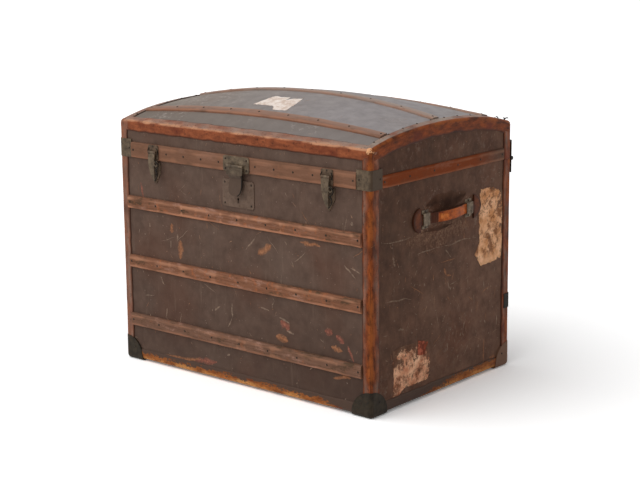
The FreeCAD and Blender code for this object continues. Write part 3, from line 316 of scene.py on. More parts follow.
def cover_colour(tree, place):
    """Colour of the painted cover at a place in the model, and the mottling that its relief follows."""
    sizes = ((170, 3, 0.5), (30, 6, 0.62), (16, 5, 0.75), (48, 6, 0.72), (6, 2, 0.5))
    blotch, mottle, scuff, cloud, nick = (
        add(tree, "TexNoise", {"Vector": place, "Scale": 1 / (size * MM),
                               "Detail": detail, "Roughness": rough})
        for size, detail, rough in sizes)
    rub = add(tree, "Mapping", {"Vector": place, "Scale": (1 / (12 * MM), 1 / (12 * MM), 1 / (110 * MM))})
    rub = add(tree, "TexNoise", {"Vector": rub, "Scale": 1.0, "Detail": 4.0, "Roughness": 0.6})
    x, y, z = (add(tree, "SeparateXYZ", {0: place}, axis) for axis in "XYZ")
    plain = coats(tree, "#503e35", ("#6c564a", mottle, 0.22, 0.78, 1), ("#5f3f31", blotch, 0.52, 0.70, 0.45),
                  ("#6d5b50", blotch, 0.45, 0.30, 0.4))
    patches = add(tree, "MapRange", {"Value": blotch, "From Min": 0.50, "From Max": 0.58})
    scuffed = (scuff, 0.53, 0.70, 0.6, patches)
    # Painted sheen: the dome's dusty grey is kept light and grows lighter towards the right.
    sheen_to_right = (x, -END * MM, 0.5 * END * MM, 1)
    deep = coats(tree, "#72675d", ("#868080", *sheen_to_right))
    high = coats(tree, "#8f8479", ("#a29b9a", *sheen_to_right))
    dome = coats(tree, deep, (high, mottle, 0.22, 0.78, 1), ("#7a6a60", blotch, 0.52, 0.70, 0.45),
                 ("#71665d", y, -0.190, -0.220, 0.6), ("#bdb3ad", *scuffed))
    low_rear = add(tree, "Math", {0: z, 1: -0.8, 2: y}, operation="MULTIPLY_ADD")
    shade = coats(tree, (0.72, 0.56, 0.46, 1), ((1.30, 1.09, 0.96, 1), low_rear, -0.60, 0.05, 1))
    warm = add(tree, "Mix", {0: 1.0, 6: plain, 7: shade}, 2, data_type="RGBA", blend_type="MULTIPLY")
    warm = coats(tree, warm, ("#806a5c", *scuffed))
    cloud = add(tree, "MapRange", {"Value": cloud, "From Min": 0.34, "From Max": 0.66,
                                   "To Min": 0.72, "To Max": 1.24})
    warm = add(tree, "Mix", {0: 1.0, 6: warm, 7: cloud}, 2, data_type="RGBA", blend_type="MULTIPLY")
    right = add(tree, "MapRange", {"Value": x, "From Max": 0.350, "To Min": 0.3, "To Max": 0.65})
    grimy = coats(tree, plain, ("#3d2d26", z, 0.300, 0.060, 1, right))
    aside = add(tree, "Math", {0: x}, operation="ABSOLUTE")
    inner = add(tree, "Math", {0: aside, 1: (END - SKIN) * MM}, operation="LESS_THAN")
    above = add(tree, "Math", {0: z, 1: (LID_EDGE + SKIN) * MM}, operation="GREATER_THAN")
    cover = coats(tree, warm, (grimy, inner, 0, 1, 1), (dome, inner, 0, 1, 1, above),
                  ("#85705f", rub, 0.60, 0.78, 0.22), ("#a38d7d", nick, 0.71, 0.77, 0.6))
    return cover, mottle


# %% Cover of chest and lid
canvas, tree, place = finish("painted_canvas", Roughness=0.6, Specular_IOR_Level=0.08)
cover, mottle = cover_colour(tree, place)
surface(tree, cover, mottle, 0.25, 0.001)
dress(canvas, "chest_canvas", "lid_canvas")
print("canvas nodes", len(tree.nodes))

# %% [markdown]
# The slats are ash or elm, once stained and varnished. Grain and patches run along the UV map's first axis,
# so they follow bent slats too. Dark varnish is left in some patches, dusty pink wood or raw orange wood
# shows in others. Rubbed shoulders are bare where the wear attribute is high: dusty above, red below. The
# pale upper shoulder is partly a painted highlight, and the red lower shoulder and underside are made bright
# as painted light against their shade. A tint makes one slat more orange than the next. The bands on the ends
# keep more of their red stain, the band above the seam has browned evenly, and dust lies on the dome slats.

# %% Worn slat wood
slat_wood, tree, place = finish("stained_ash_slats", Roughness=0.6, Specular_IOR_Level=0.08)
along = add(tree, "UVMap", uv_map="grain")
grain = add(tree, "Mapping", {"Vector": along, "Scale": (1 / (110 * MM), 1 / (4 * MM), 1)})
grain = add(tree, "TexNoise", {"Vector": grain, "Scale": 1.0, "Detail": 5.0, "Roughness": 0.65})
patch = add(tree, "Mapping", {"Vector": along, "Scale": (1 / (60 * MM), 1 / (22 * MM), 1)})
patch = add(tree, "VectorMath", {0: patch, 1: place})
patch = add(tree, "TexNoise", {"Vector": patch, "Scale": 1.0, "Detail": 6.0, "Roughness": 0.74})
raw = add(tree, "TexNoise", {"Vector": place, "Scale": 1 / (24 * MM), "Detail": 6.0, "Roughness": 0.75})
tint, side, wear = (add(tree, "Attribute", out="Fac", attribute_name=name)
                    for name in ("tint", "side", "wear"))
x, y, z = (add(tree, "SeparateXYZ", {0: place}, axis) for axis in "XYZ")

# %% [markdown]
# Where a slat is on the trunk decides which coats it has, so the places come first: on the band above the
# seam, on an end, or on the dome, where the rear side of a slat has the most dust.

# %% Coats of the slat wood
on_band = add(tree, "MapRange", {"Value": z, "From Min": SEAM * MM, "From Max": (SEAM + 1) * MM,
                                 "To Max": 0.9})
under = add(tree, "MapRange", {"Value": z, "From Min": (LID_EDGE - 1) * MM, "From Max": LID_EDGE * MM,
                               "To Min": 0.6, "To Max": 0.05})
aside = add(tree, "Math", {0: x}, operation="ABSOLUTE")
on_end = add(tree, "MapRange", {"Value": aside, "From Min": (END - 0.5) * MM, "From Max": (END + 0.5) * MM,
                                "To Max": 0.97})
on_top = add(tree, "MapRange", {"Value": z, "From Min": LID_EDGE * MM, "From Max": (LID_EDGE + 4) * MM,
                                "To Max": 0.42})
rear = add(tree, "MapRange", {"Value": side, "From Min": 0.30, "From Max": 0.95,
                              "To Min": 0.5, "To Max": 1.7})
faded = add(tree, "MapRange", {"Value": tint, "From Min": 0.5, "From Max": 0.0, "To Max": 1.7})
rear = add(tree, "Math", {0: rear, 1: faded}, operation="ADD")
on_top = add(tree, "Math", {0: on_top, 1: rear}, operation="MULTIPLY")
even = add(tree, "Math", {0: on_end, 1: on_top}, operation="MAXIMUM")
even = add(tree, "Math", {0: even, 1: on_band}, operation="MAXIMUM")
weak = add(tree, "MapRange", {"Value": even, "To Min": 1.0, "To Max": 0.25})
dull = add(tree, "MapRange", {"Value": z, "From Min": 0.12, "From Max": 0.40, "To Min": 0.45})
# The wear attribute marks bare wood and also carries painted light: a highlight above, lift against shade
# below.
wear_and_light_mask = add(tree, "Math", {0: patch, 1: grain}, operation="ADD")
wear_and_light_mask = add(tree, "Math", {0: wear, 1: wear_and_light_mask}, operation="MULTIPLY")
deep = coats(tree, "#584338", ("#6f4631", tint, 0, 1, 1))
high = coats(tree, "#785e4f", ("#94644b", tint, 0, 1, 1))
stain = coats(tree, "#5a4033", ("#78340c", y, 0.230, 0.130, 1))
# Bare edge colour: pale above, partly a painted highlight; bright red below, partly painted light against the
# shade of the lower shoulder and underside.
edge = coats(tree, "#c98866", ("#b5866a", side, 0, 1, 1))
wood = coats(tree, deep, (high, grain, 0.25, 0.75, 1), ("#805a45", on_band, 0, 1, 1, under),
             (stain, on_end, 0, 1, 1), ("#a39186", on_top, 0, 1, 1),
             ("#4d3b2b", patch, 0.53, 0.62, 0.85, weak), ("#aa8270", patch, 0.45, 0.35, 0.65, weak),
             ("#ad643c", raw, 0.56, 0.64, 0.65, tint, weak), (edge, wear_and_light_mask, 0.36, 0.86, 0.85, weak, dull))
surface(tree, wood, grain, 0.3, 0.0008)
print("slat wood nodes", len(tree.nodes))

# %% [markdown]
# The edging is cowhide, folded wet over the corners and nailed. It has dried to a red orange brown, streaked
# along its length, and pale where the fold is rubbed. It is nearly black along its free edges, partly dirt
# and partly painted shade for the shadow of the raised edge. Dust lies on the legs that rest on the dome,
# and the left corners are painted lighter as a highlight where they face the lamp. The strip round the foot
# was painted with the canvas, and is bare only near the floor.

# %% Edging leather

def edging_finish(name, dark, mid, worn, low_wear=False):
    """Rubbed cowhide in three shades. With low wear, it is painted with the canvas and bare only near the
    floor, up to a ragged height that two fields and the place along the trunk change."""
    made, tree, place = finish(name, Roughness=0.5, Specular_IOR_Level=0.10)
    along = add(tree, "UVMap", uv_map="grain")
    along = add(tree, "Mapping", {"Vector": along, "Scale": (1 / (34 * MM), 1 / (13 * MM), 1)})
    along = add(tree, "VectorMath", {0: along, 1: place})
    hide = add(tree, "TexNoise", {"Vector": along, "Scale": 1.0, "Detail": 6.0, "Roughness": 0.7})
    wide = add(tree, "TexNoise", {"Vector": place, "Scale": 1 / (85 * MM), "Detail": 4.0, "Roughness": 0.6})
    speck = add(tree, "TexNoise", {"Vector": place, "Scale": 1 / (7 * MM), "Detail": 4.0, "Roughness": 0.7})
    wear, dust, rim = (add(tree, "Attribute", out="Fac", attribute_name=value)
                       for value in ("wear", "dust", "rim"))
    x, y, z = (add(tree, "SeparateXYZ", {0: place}, axis) for axis in "XYZ")
    rubbed = add(tree, "Math", {0: hide, 1: wide}, operation="ADD")
    rubbed = add(tree, "Math", {0: wear, 1: rubbed}, operation="MULTIPLY")
    settled = add(tree, "MapRange", {"Value": wide, "From Min": 0.66, "From Max": 0.36})
    # The pink coat on the left is a painted highlight, the near black rim is dirt and painted shade along the
    # free edges, and the peach coat is the palest rubbed hide and, on the front right lid ball, a painted
    # highlight.
    skin = coats(tree, dark, (mid, hide, 0.34, 0.66, 1), ("#63291a", wide, 0.53, 0.66, 0.7),
                 (worn, rubbed, 0.85, 1.25, 0.7), ("#eeb080", rubbed, 1.5, 2.1, 0.85),
                 ("#9a7462", x, (30 - END) * MM, (24 - END) * MM, 0.4), ("#99897c", dust, 0, 1, 1, settled),
                 ("#361d14", speck, 0.57, 0.68, 0.65), ("#2b1a13", rim, 0, 1, 1))
    if low_wear:
        ragged = add(tree, "Math", {0: hide, 1: 0.060, 2: z}, operation="MULTIPLY_ADD")
        ragged = add(tree, "Math", {0: speck, 1: 0.030, 2: ragged}, operation="MULTIPLY_ADD")
        on_end = add(tree, "Math", {0: x, 1: (END - 6) * MM}, operation="GREATER_THAN")
        near_front = add(tree, "MapRange", {"Value": y, "From Min": 0.080, "From Max": -0.140,
                                            "To Min": -0.007, "To Max": 0.020})
        near_cap = add(tree, "MapRange", {"Value": x, "From Min": 0.270, "From Max": 0.330, "To Max": 0.020})
        sound = add(tree, "Mix", {0: on_end, 2: near_cap, 3: near_front})
        ragged = add(tree, "Math", {0: ragged, 1: sound}, operation="ADD")
        skin = coats(tree, skin, ("#523f35", ragged, (FOOT + 57) * MM, (FOOT + 59) * MM, 1))
    surface(tree, skin, add(tree, "Math", {0: hide, 1: speck}, operation="ADD"), 0.4, 0.001)
    return made


# %% Four leathers
edging_leather = edging_finish("rubbed_cowhide_edging", "#42200f", "#96481f", "#a05828")
lid_leather = edging_finish("dusty_cowhide_lid_edging", "#6f3923", "#9f5836", "#d39a75")
foot_leather = edging_finish("painted_cowhide_foot", "#673516", "#c0743a", "#d99a58", True)
strap_leather = edging_finish("harness_leather_strap", "#7c3818", "#d06a2c", "#ee9248")
print("leathers", edging_leather.name, foot_leather.name)

# %% [markdown]
# The ironwork is thin sheet, blackened and then left to oxidise to a warm grey brown. Rust sits in pits, and
# hands and luggage keep the high spots a little brighter. It is dull, so roughness is high. The lock plate
# and the tongue that covers it went under the same brush as the canvas, and so did the caps at the back.

# %% Iron and nails

def iron_finish(name, dark, mid, rust, rough, axis="Z", brush=(), coat="#544237"):
    """Oxidised sheet iron: two shades by thumb-sized mottling, rust where a finer field is high. A brush of
    two values along an axis fades to a coat from the first value to the second: paint or dirt, and on the
    brackets a painted shade on the legs that face the ends."""
    made, tree, place = finish(name, Roughness=rough, Metallic=0.1, Specular_IOR_Level=0.13)
    cloud = add(tree, "TexNoise", {"Vector": place, "Scale": 1 / (16 * MM), "Detail": 5.0, "Roughness": 0.65})
    pits = add(tree, "TexNoise", {"Vector": place, "Scale": 1 / (6 * MM), "Detail": 4.0, "Roughness": 0.7})
    skin = coats(tree, dark, (mid, cloud, 0.35, 0.68, 1), (rust, pits, 0.56, 0.68, 0.8))
    if brush:
        start, full = np.array(brush) * MM
        skin = coats(tree, skin, (coat, add(tree, "SeparateXYZ", {0: place}, axis), start, full, 0.9))
    surface(tree, skin, pits, 0.35, 0.0006)
    return made


# %% Ironwork
black_iron = iron_finish("blackened_iron", "#15120f", "#2c261f", "#2f2118", 0.55)
dress(black_iron, "rear_clips", "hinge_chest_leaves", "hinge_lid_leaves", "hinge_pins")
IRONWORK = ((("corner_caps",), "painted_corner_iron", "#231d16", "#3e3529", "#3f2d1d", 0.55,
             "Y", (MIDDLE, MIDDLE + 60), "#7a5a47"),
            (("hasp_plate", "lock_case", "lock_bolt", "left_catch_lever", "right_catch_lever"),
             "oxidised_sheet_iron", "#4a3e32", "#7f6d58", "#4a3626", 0.45),
            # The brackets' legs on the right end are painted darker: painted shade on the side away from the
            # lamp.
            (("lid_brackets",), "shaded_bracket_iron", "#463a2e", "#75634f", "#4a3626", 0.5,
             "X", (END - 2, END + 3), "#4a3a2c"),
            (("hasp",), "rubbed_hasp_iron", "#3f342a", "#6b5c4b", "#4a3626", 0.45,
             "Z", (SEAM + 2, SEAM - 12)),
            (("catch_plates", "clasp_pins", "left_keeper", "right_keeper"),
             "brown_clasp_iron", "#45372b", "#705b49", "#3c2a1c", 0.5),
            (("left_handle_loops", "right_handle_loops"),
             "rubbed_loop_iron", "#46382c", "#93806a", "#4a3323", 0.45),
            (("chest_nails", "lid_nails"), "iron_nail_heads", "#241c16", "#3f3226", "#34251b", 0.45),
            (("lock_plate",), "painted_sheet_iron", "#614e42", "#745f51", "#56412f", 0.6))
for names, *look in IRONWORK:
    dress(iron_finish(*look), *names)
print("hasp", np.round(corners("hasp")))

# %% [markdown]
# Inside, the boards are planed pine and the lining is a paper-faced cloth, yellowed and foxed. Both show
# only when the lid is up. Pine grain is a field stretched along the boards' length, with streaks about
# 130 mm long and 11 mm wide.

# %% Boards and lining
boards, tree, place = finish("planed_pine", Roughness=0.7)
grain = add(tree, "Mapping", {"Vector": place, "Scale": (5, 60, 60)})
grain = add(tree, "TexNoise", {"Vector": grain, "Scale": 1.5, "Detail": 4.0, "Distortion": 0.6})
surface(tree, coats(tree, "#8d643f", ("#b58a5c", grain, 0.35, 0.65, 1)), grain, 0.2, 0.001)
dress(boards, "bottom_board", "front_board", "back_board", "left_end_board", "right_end_board",
      "lid_front_board", "lid_back_board", "lid_left_end_board", "lid_right_end_board",
      "dome_staves", "dust_lip", "floor_runners")
lining, tree, place = finish("paper_faced_lining", Roughness=0.85)
stain = add(tree, "TexNoise", {"Vector": place, "Scale": 1 / (110 * MM), "Detail": 5.0, "Roughness": 0.6})
fox = add(tree, "TexNoise", {"Vector": place, "Scale": 1 / (12 * MM), "Detail": 3.0})
surface(tree, coats(tree, "#c8b58f", ("#a98f66", stain, 0.35, 0.68, 1), ("#7d5c38", fox, 0.66, 0.74, 0.6)))
dress(lining, "chest_lining", "lid_lining")
print("boards and lining dressed")

# %% [markdown]
# A slat is a flat bar whose shoulders have been rubbed round and whose lower edge is chipped. Its section
# is a superellipse, half as tall as the full one, so one exponent takes it from square to round; seeded
# ripples change that exponent and the width along the bar, and single chips bite into one edge.

# %% Worn bars
SECTION, BAR_STEP = 17, 4
SQUARE, CHIP_LEVEL = 0.40, 0.45
UP, FORWARD, BACKWARD = (0, 0, 1), (0, -1, 0), (0, 1, 0)


def bar_section(count, width, thick, seed, chips=1.0):
    """Across and height of the bar's points, and how bare each is: a superellipse swept over the top from
    edge to edge, with the exponent and half width varied along the bar. Wear is a bell curve of the reach
    from the middle, near the edge on the lower side and further in on the upper one. On the upper side it
    is partly a painted highlight of the lit shoulder, and on the lower side partly painted light against the
    shade of the lower shoulder and underside."""
    turn = np.linspace(np.pi, 0, SECTION)[None, :]
    square = SQUARE + 0.12 * lumps(count, SECTION, (max(4, count // 9), 4), seed)
    bite = np.maximum(lumps(count, SECTION, (max(6, count // 3), 3), seed + 1) - CHIP_LEVEL, 0) * chips
    shoulder = np.abs(np.cos(turn)) ** 3
    across = np.sign(np.cos(turn)) * np.abs(np.cos(turn)) ** square * width / 2 * (1 - 0.10 * bite * shoulder)
    uneven = 0.25 * lumps(count, SECTION, (count // 6, 3), seed + 2)
    height = np.abs(np.sin(turn)) ** square * (thick * (1 - 0.35 * bite * shoulder) + uneven)
    reach = np.abs(across) / (width / 2)
    # The upper bell is partly a painted highlight, the lower one partly painted light against shade.
    lower, upper = np.exp(-((reach - 0.85) / 0.35) ** 2), 0.9 * np.exp(-((reach - 0.6) / 0.25) ** 2)
    patchy = 0.75 + 0.45 * lumps(count, SECTION, (max(4, count // 7), 3), seed + 3)
    wear = np.where(np.cos(turn) < 0, lower, upper) * patchy + 0.8 * bite
    return across, height, {"wear": np.clip(wear, 0, 1.2), "side": (1 + np.cos(turn)) / 2 + 0 * wear}


# %% Bars along a line and over the dome

def straight_bar(start, end, up, out, width, thick, seed, chips=1.0, tint=0.5):
    """The section carried along a straight line, its width along up and its height along out."""
    count = int(np.linalg.norm(np.subtract(end, start)) / BAR_STEP)
    across, height, values = bar_section(count, width, thick, seed, chips)
    share = np.linspace(0, 1, count)[:, None, None]
    line = np.array(start) * (1 - share) + np.array(end) * share
    points = line + across[..., None] * np.array(up) + height[..., None] * np.array(out)
    return {"points": points, "tint": np.full(across.shape, tint), **values}


def dome_bar(half, middle, width, thick, seed, tint):
    """The section carried along the dome at one distance from its ridge."""
    count = int(2 * half / BAR_STEP)
    across, height, values = bar_section(count, width, thick, seed)
    x = np.linspace(-half, half, count)[:, None] + 0 * across
    points = on_dome(x, MIDDLE + middle + across, height)
    return {"points": points, "tint": np.full(across.shape, tint), **values}


def node_bar(name, out, seed, chips=1.0, tint=0.5):
    """A bar in place of a level node on the front or back: its box gives start, end, width and thickness."""
    low, high = corners(name)
    middle = (low[2] + high[2]) / 2
    base = high[1] if out == FORWARD else low[1]
    start, end = ((corner[0], base, middle) for corner in (low, high))
    size = high - low
    return straight_bar(start, end, UP, out, size[2], size[1], seed, chips, tint)


# %% [markdown]
# Slats and bands take their places from the nodes that they stand for. The three slats on the back copy the
# heights of those on the front, and the dome slats lie at shares of the trunk's depth.

# %% Slats and bands
SLAT_WIDE, SLAT_THICK, DOME_SLAT_WIDE, DOME_SLAT_THICK, DOME_SLAT_GAP, END_BAND_THICK = 33, 9, 26, 6, 24, 4
FRONT_SLATS = (("upper", 0.8, 10), ("middle", 0.9, 15), ("lower", 0.35, 20))
DOME_SLATS = ((-0.36, 1.0, 50), (-0.005, 0.1, 55), (0.36, 0.1, 60))


def worn(node, body, bars):
    """Worn bars in place of the plain ones of a node."""
    piece("worn_" + node, bars, body, slat_wood, [node])


slat_levels = []
for level, tint, seed in FRONT_SLATS:
    node = f"front_slat_{level}"
    worn(node, "chest", [node_bar(node, FORWARD, seed, 1.0, tint)])
    slat_levels.insert(0, sum(corners(node))[2] / 2)
low, high = corners("back_slats")
bars = [straight_bar((low[0], BACK, z), (high[0], BACK, z), UP, BACKWARD, SLAT_WIDE, SLAT_THICK, seed)
        for z, seed in zip(slat_levels, (30, 35, 40))]
worn("back_slats", "chest", bars)
bars = [dome_bar(END - DOME_SLAT_GAP, share * (BACK - FRONT), DOME_SLAT_WIDE, DOME_SLAT_THICK, seed, tint)
        for share, tint, seed in DOME_SLATS]
worn("dome_slats", "lid", bars)
worn("back_band", "lid", [node_bar("back_band", BACKWARD, 75, 0.5)])
low, high = corners("end_bands")
z = (low[2] + high[2]) / 2
bars = [straight_bar((side * END, low[1], z), (side * END, high[1], z), UP, (side, 0, 0), high[2] - low[2],
                     END_BAND_THICK, 80 + side, 0.5) for side in (-1, 1)]
worn("end_bands", "lid", bars)
worn("front_band", "lid", [node_bar("front_band", FORWARD, 70, 0.5)])

# %% [markdown]
# Edging is a strip folded over an edge and nailed on both faces. At every station along the edge two
# directions run from it over the two faces. The outside follows one face at the leather's thickness, turns
# with a rolled fold, and follows the other; the legs thin out and wander at their free edges.

# %% Folded leather
LEG, FOLD, EDGE_STEP = 9, 9, 5.0
HIDE_THICK, FOLD_RADIUS, RAGGED, SUNK = 3.0, 8.0, 1.2, 0.3


def fold(corner, over, down, leg_over, leg_down, seed, dust=0.0):
    """Rings round the folded strip. The fold is an arc whose centre lies inside both faces by its radius
    less the thickness; the legs reach from it to their free edges."""
    count = len(corner)
    over, down = unit(np.broadcast_to(over, corner.shape)), unit(np.broadcast_to(down, corner.shape))
    dot = np.sum(over * down, axis=-1, keepdims=True)
    from_over, from_down = -unit(down - dot * over), -unit(over - dot * down)
    facing = np.sum(from_over * from_down, axis=-1, keepdims=True)
    centre = corner - (FOLD_RADIUS - HIDE_THICK) * (from_over + from_down) / (1 + facing)
    angle = np.arccos(np.clip(facing, -1, 1))[..., None]
    share = np.linspace(0, 1, FOLD)[None, :, None]
    spoke = np.sin((1 - share) * angle) * from_over[:, None] + np.sin(share * angle) * from_down[:, None]
    spoke = spoke / np.sin(angle)
    step = np.linspace(0, 1, LEG, endpoint=False)[None, :]
    body = HIDE_THICK * (0.45 + 0.55 * np.minimum(step * 4, 1) ** 0.5)
    swell = 1 + 0.08 * lumps(count, 2 * LEG + FOLD, (max(4, count // 5), 6), seed)

    def leg(direction, normal, reach, seed, swell):
        """Outside and base points of one leg from its free edge to the fold."""
        free = reach + RAGGED * ripple(count, max(4, count // 4), seed)[:, None]
        start = np.sum((centre - corner) * direction, axis=-1, keepdims=True)
        along = free * (1 - step) + start * step
        base = corner[:, None] + along[..., None] * direction[:, None]
        return base + (body * swell)[..., None] * normal[:, None], base - SUNK * normal[:, None]

    out_over, in_over = leg(over, from_over, leg_over, seed + 1, swell[:, :LEG])
    out_down, in_down = leg(down, from_down, leg_down, seed + 2, swell[:, LEG:2 * LEG])
    bend = FOLD_RADIUS + HIDE_THICK * (swell[:, 2 * LEG:] - 1)
    rolled = centre[:, None] + bend[..., None] * spoke
    lined = centre[:, None] + (FOLD_RADIUS - HIDE_THICK - SUNK) * spoke[:, ::-1]
    outside = np.concatenate([out_over, rolled, out_down[:, ::-1]], axis=1)
    inside = np.concatenate([in_down, lined, in_over[:, ::-1]], axis=1)
    half = outside.shape[1]
    across = np.abs(np.linspace(-1, 1, half))
    patchy = 1 + 0.3 * ripple(count, max(4, count // 6), seed + 3)[:, None]
    wear = np.concatenate([1.1 - across ** 1.5, np.zeros(half)]) * patchy
    # Rim: dark at the free edges, partly dirt and partly painted shade for the edge's shadow, and dark under
    # the leather as painted shade.
    rim = np.concatenate([np.clip((across - 0.86) / 0.12, 0, 0.85), np.full(half, 0.85)]) + 0 * wear
    settled = dust * (np.arange(2 * half) < LEG + 1)
    return {"points": np.concatenate([outside, inside], axis=1), "wear": wear, "rim": rim, "dust": settled}


# %% Points on an edge

def edge_line(start, end):
    """Evenly spaced points on a straight edge."""
    count = int(np.linalg.norm(np.subtract(end, start)) / EDGE_STEP) + 2
    share = np.linspace(0, 1, count)[:, None]
    return np.array(start, float) * (1 - share) + np.array(end, float) * share


# %% [markdown]
# The upright corners come first. Below the upper slat the leather has a dark stain all round, its fold has
# cracked in the lower half, and dust lies where the wear of the fold ends.

# %% Edging of the upright corners
SIDES = [(x, y) for x in (-1, 1) for y in (-1, 1)]
FACE = {-1: FRONT, 1: BACK}
LEG_WIDE, END_LEG, BACK_LEG = 24, 30, 44
STAIN_DROP, STAIN_SPREAD, CRACK_TOP, BRACKET_TALL = 22, 14, 330, 40


def upright(x, y, low, high, seed):
    """Edging of one upright corner: one leg over the front or back, one over the end. The stain is a bell
    curve of height, the crack a ripple on the middle of the fold."""
    line = edge_line((x * END, FACE[y], low), (x * END, FACE[y], high))
    made = fold(line, (-x, 0, 0), (0, -y, 0), LEG_WIDE if y < 0 else BACK_LEG, END_LEG, seed)
    stain = 0.45 * np.exp(-((line[:, 2:] - slat_levels[2] + STAIN_DROP) / STAIN_SPREAD) ** 2)
    on_fold = np.abs(np.arange(made["rim"].shape[1]) - LEG - 3) < 1
    crack = np.clip(0.6 * on_fold * (0.5 + ripple(len(line), 12, seed + 4)[:, None]), 0, 1)
    made["rim"] = np.maximum(made["rim"], np.maximum(stain, crack * (line[:, 2:] < CRACK_TOP)))
    made["dust"] = np.clip(0.9 - made["wear"], 0, 0.5) * np.clip(5 * made["wear"] - 1.2, 0, 1)
    return made


corner_edges = [upright(x, y, FOOT + 2, SEAM, 100 + 10 * number) for number, (x, y) in enumerate(SIDES)]
piece("leather_corner_edging", corner_edges, "chest", edging_leather, ["corner_edging"])
corner_edges = [upright(x, y, LID_FOOT + (BRACKET_TALL if y < 0 else 0), LID_EDGE - 4, 140 + 10 * number)
                for number, (x, y) in enumerate(SIDES)]
piece("leather_lid_corners", corner_edges, "lid", edging_leather, ["lid_corner_edging"])

# %% [markdown]
# The same fold runs round the foot of the chest, where a ragged strip near the floor has lost its paint,
# along the front and back of the lid, whose upper half is rubbed pale, and over both arched ends, where one
# leg lies on the dome.

# %% Edging of the foot and the lid
LID_INSET, ARCH_INSET = 6, 3
foot_lines = [((-END, FACE[y], FOOT), (END, FACE[y], FOOT), (0, -y, 0), 180 + y) for y in (-1, 1)]
foot_lines += [((x * END, FRONT, FOOT), (x * END, BACK, FOOT), (-x, 0, 0), 190 + x) for x in (-1, 1)]
foot_edges = [fold(edge_line(start, end), UP, inward, LEG_WIDE, LEG_WIDE, seed)
              for start, end, inward, seed in foot_lines]
piece("leather_foot_edging", foot_edges, "chest", foot_leather, ["bottom_edging"])


def along_dome(line, inward):
    """Directions from points on the dome's edge to the dome a leg's width further in."""
    inner = line + inward
    return np.stack([inner[:, 0], inner[:, 1], dome_height(inner[:, 0], inner[:, 1])], axis=-1) - line


for y, node in ((-1, "lid_front_edging"), (1, "lid_back_edging")):
    line = edge_line((LID_INSET - END, FACE[y], LID_EDGE), (END - LID_INSET, FACE[y], LID_EDGE))
    strip = fold(line, along_dome(line, (0, -20 * y, 0)), (0, 0, -1), LEG_WIDE, LEG_WIDE, 210 + y, 0.75)
    paler = np.interp(np.arange(strip["wear"].shape[1]), (LEG + 1, LEG + FOLD), (1.25, 0.5))
    strip["wear"] = strip["wear"] * paler
    piece("leather_" + node, [strip], "lid", lid_leather, [node])
for x, node in ((-1, "left_arch_edging"), (1, "right_arch_edging")):
    line = edge_line((x * END, FRONT + ARCH_INSET, 0), (x * END, BACK - ARCH_INSET, 0))
    line[:, 2] = dome_height(line[:, 0], line[:, 1])
    slope = np.gradient(line[:, 2], line[:, 1])
    down = np.stack([0 * slope, slope, -np.ones_like(slope)], axis=-1)
    strip = fold(line, along_dome(line, (-22 * x, 0, 0)), down, LEG_WIDE, END_LEG, 220 + x, 0.9)
    piece("leather_" + node, [strip], "lid", edging_leather, [node])

# %% [markdown]
# Where three strips meet at a lid corner the hide is drawn over the point in one smooth ball. It is the
# first thing to touch a wall, so it is rubbed palest. On the front right ball the bright spot that faces up
# and out is a painted highlight, ringed by painted shade. A ball on its latitude and longitude does.

# %% Rubbed balls on the lid's corners
RINGS, SPOKES, BALL_RADIUS, BALL_INSET, BALL_DROP = 13, 20, 12, 8, 6


def ball(centre, wear, seed):
    """Rings of a globe from pole to pole, made slightly uneven, and bare where it faces up and outwards.
    Where wear is above one, that spot is a painted highlight, ringed by painted shade.
    """
    rise = np.linspace(-np.pi / 2, np.pi / 2, RINGS)[:, None]
    turn = np.linspace(0, 2 * np.pi, SPOKES, endpoint=False)[None, :]
    level = np.cos(rise)
    globe = np.stack([level * np.cos(turn), level * np.sin(turn), np.sin(rise) + 0 * turn], axis=-1)
    uneven = 1 + 0.05 * (lumps(RINGS, SPOKES, (5, 6), seed) * level)[..., None]
    facing = globe @ np.array([np.sign(centre[0]), np.sign(centre[1]), 1.2]) / 1.85
    return {"points": np.array(centre) + globe * BALL_RADIUS * uneven,
            "wear": 0.8 + wear * np.clip(facing * 4 - 1.9, 0, 1),
            "rim": np.clip(0.8 - 4 * np.abs(facing - 0.5), 0, 0.7) * (wear > 1)}


ball_z = LID_EDGE - BALL_DROP
# Only the front right ball gets the painted highlight and its ring of painted shade.
balls = [ball((x * (END - BALL_INSET), FACE[y] - BALL_INSET * y, ball_z), 2.3 if x > y else 0.4, seed)
         for seed, (x, y) in enumerate(SIDES, 240)]
piece("leather_lid_balls", balls, "lid", edging_leather)

# %% [markdown]
# Each end has a strap of harness leather that slides through two iron bridges. At rest its grip bows a
# little off the trunk; lifted, it draws both half-moon ends towards the middle. The grip moves with the
# handle, and each strap end is one smooth piece.

# %% Strap handles
GRIP_Y, GRIP_Z = sum(corners("right_grip"))[1:] / 2
STRAP_HALF, STRAP_THICK, STRAP_SPOKES, BOW, LIFT, BEND_HALF = 13.0, 5.0, 24, 12.0, 0.4, 68.0
SHOULDER, MOON, BRIDGE, WOUND_FROM, WOUND_TO, CORD_WIDE = 109.5, 30.0, 85, 48, 74, 5.2
BOW_RADIUS = (BEND_HALF ** 2 + (BOW - LIFT) ** 2) / (2 * (BOW - LIFT))


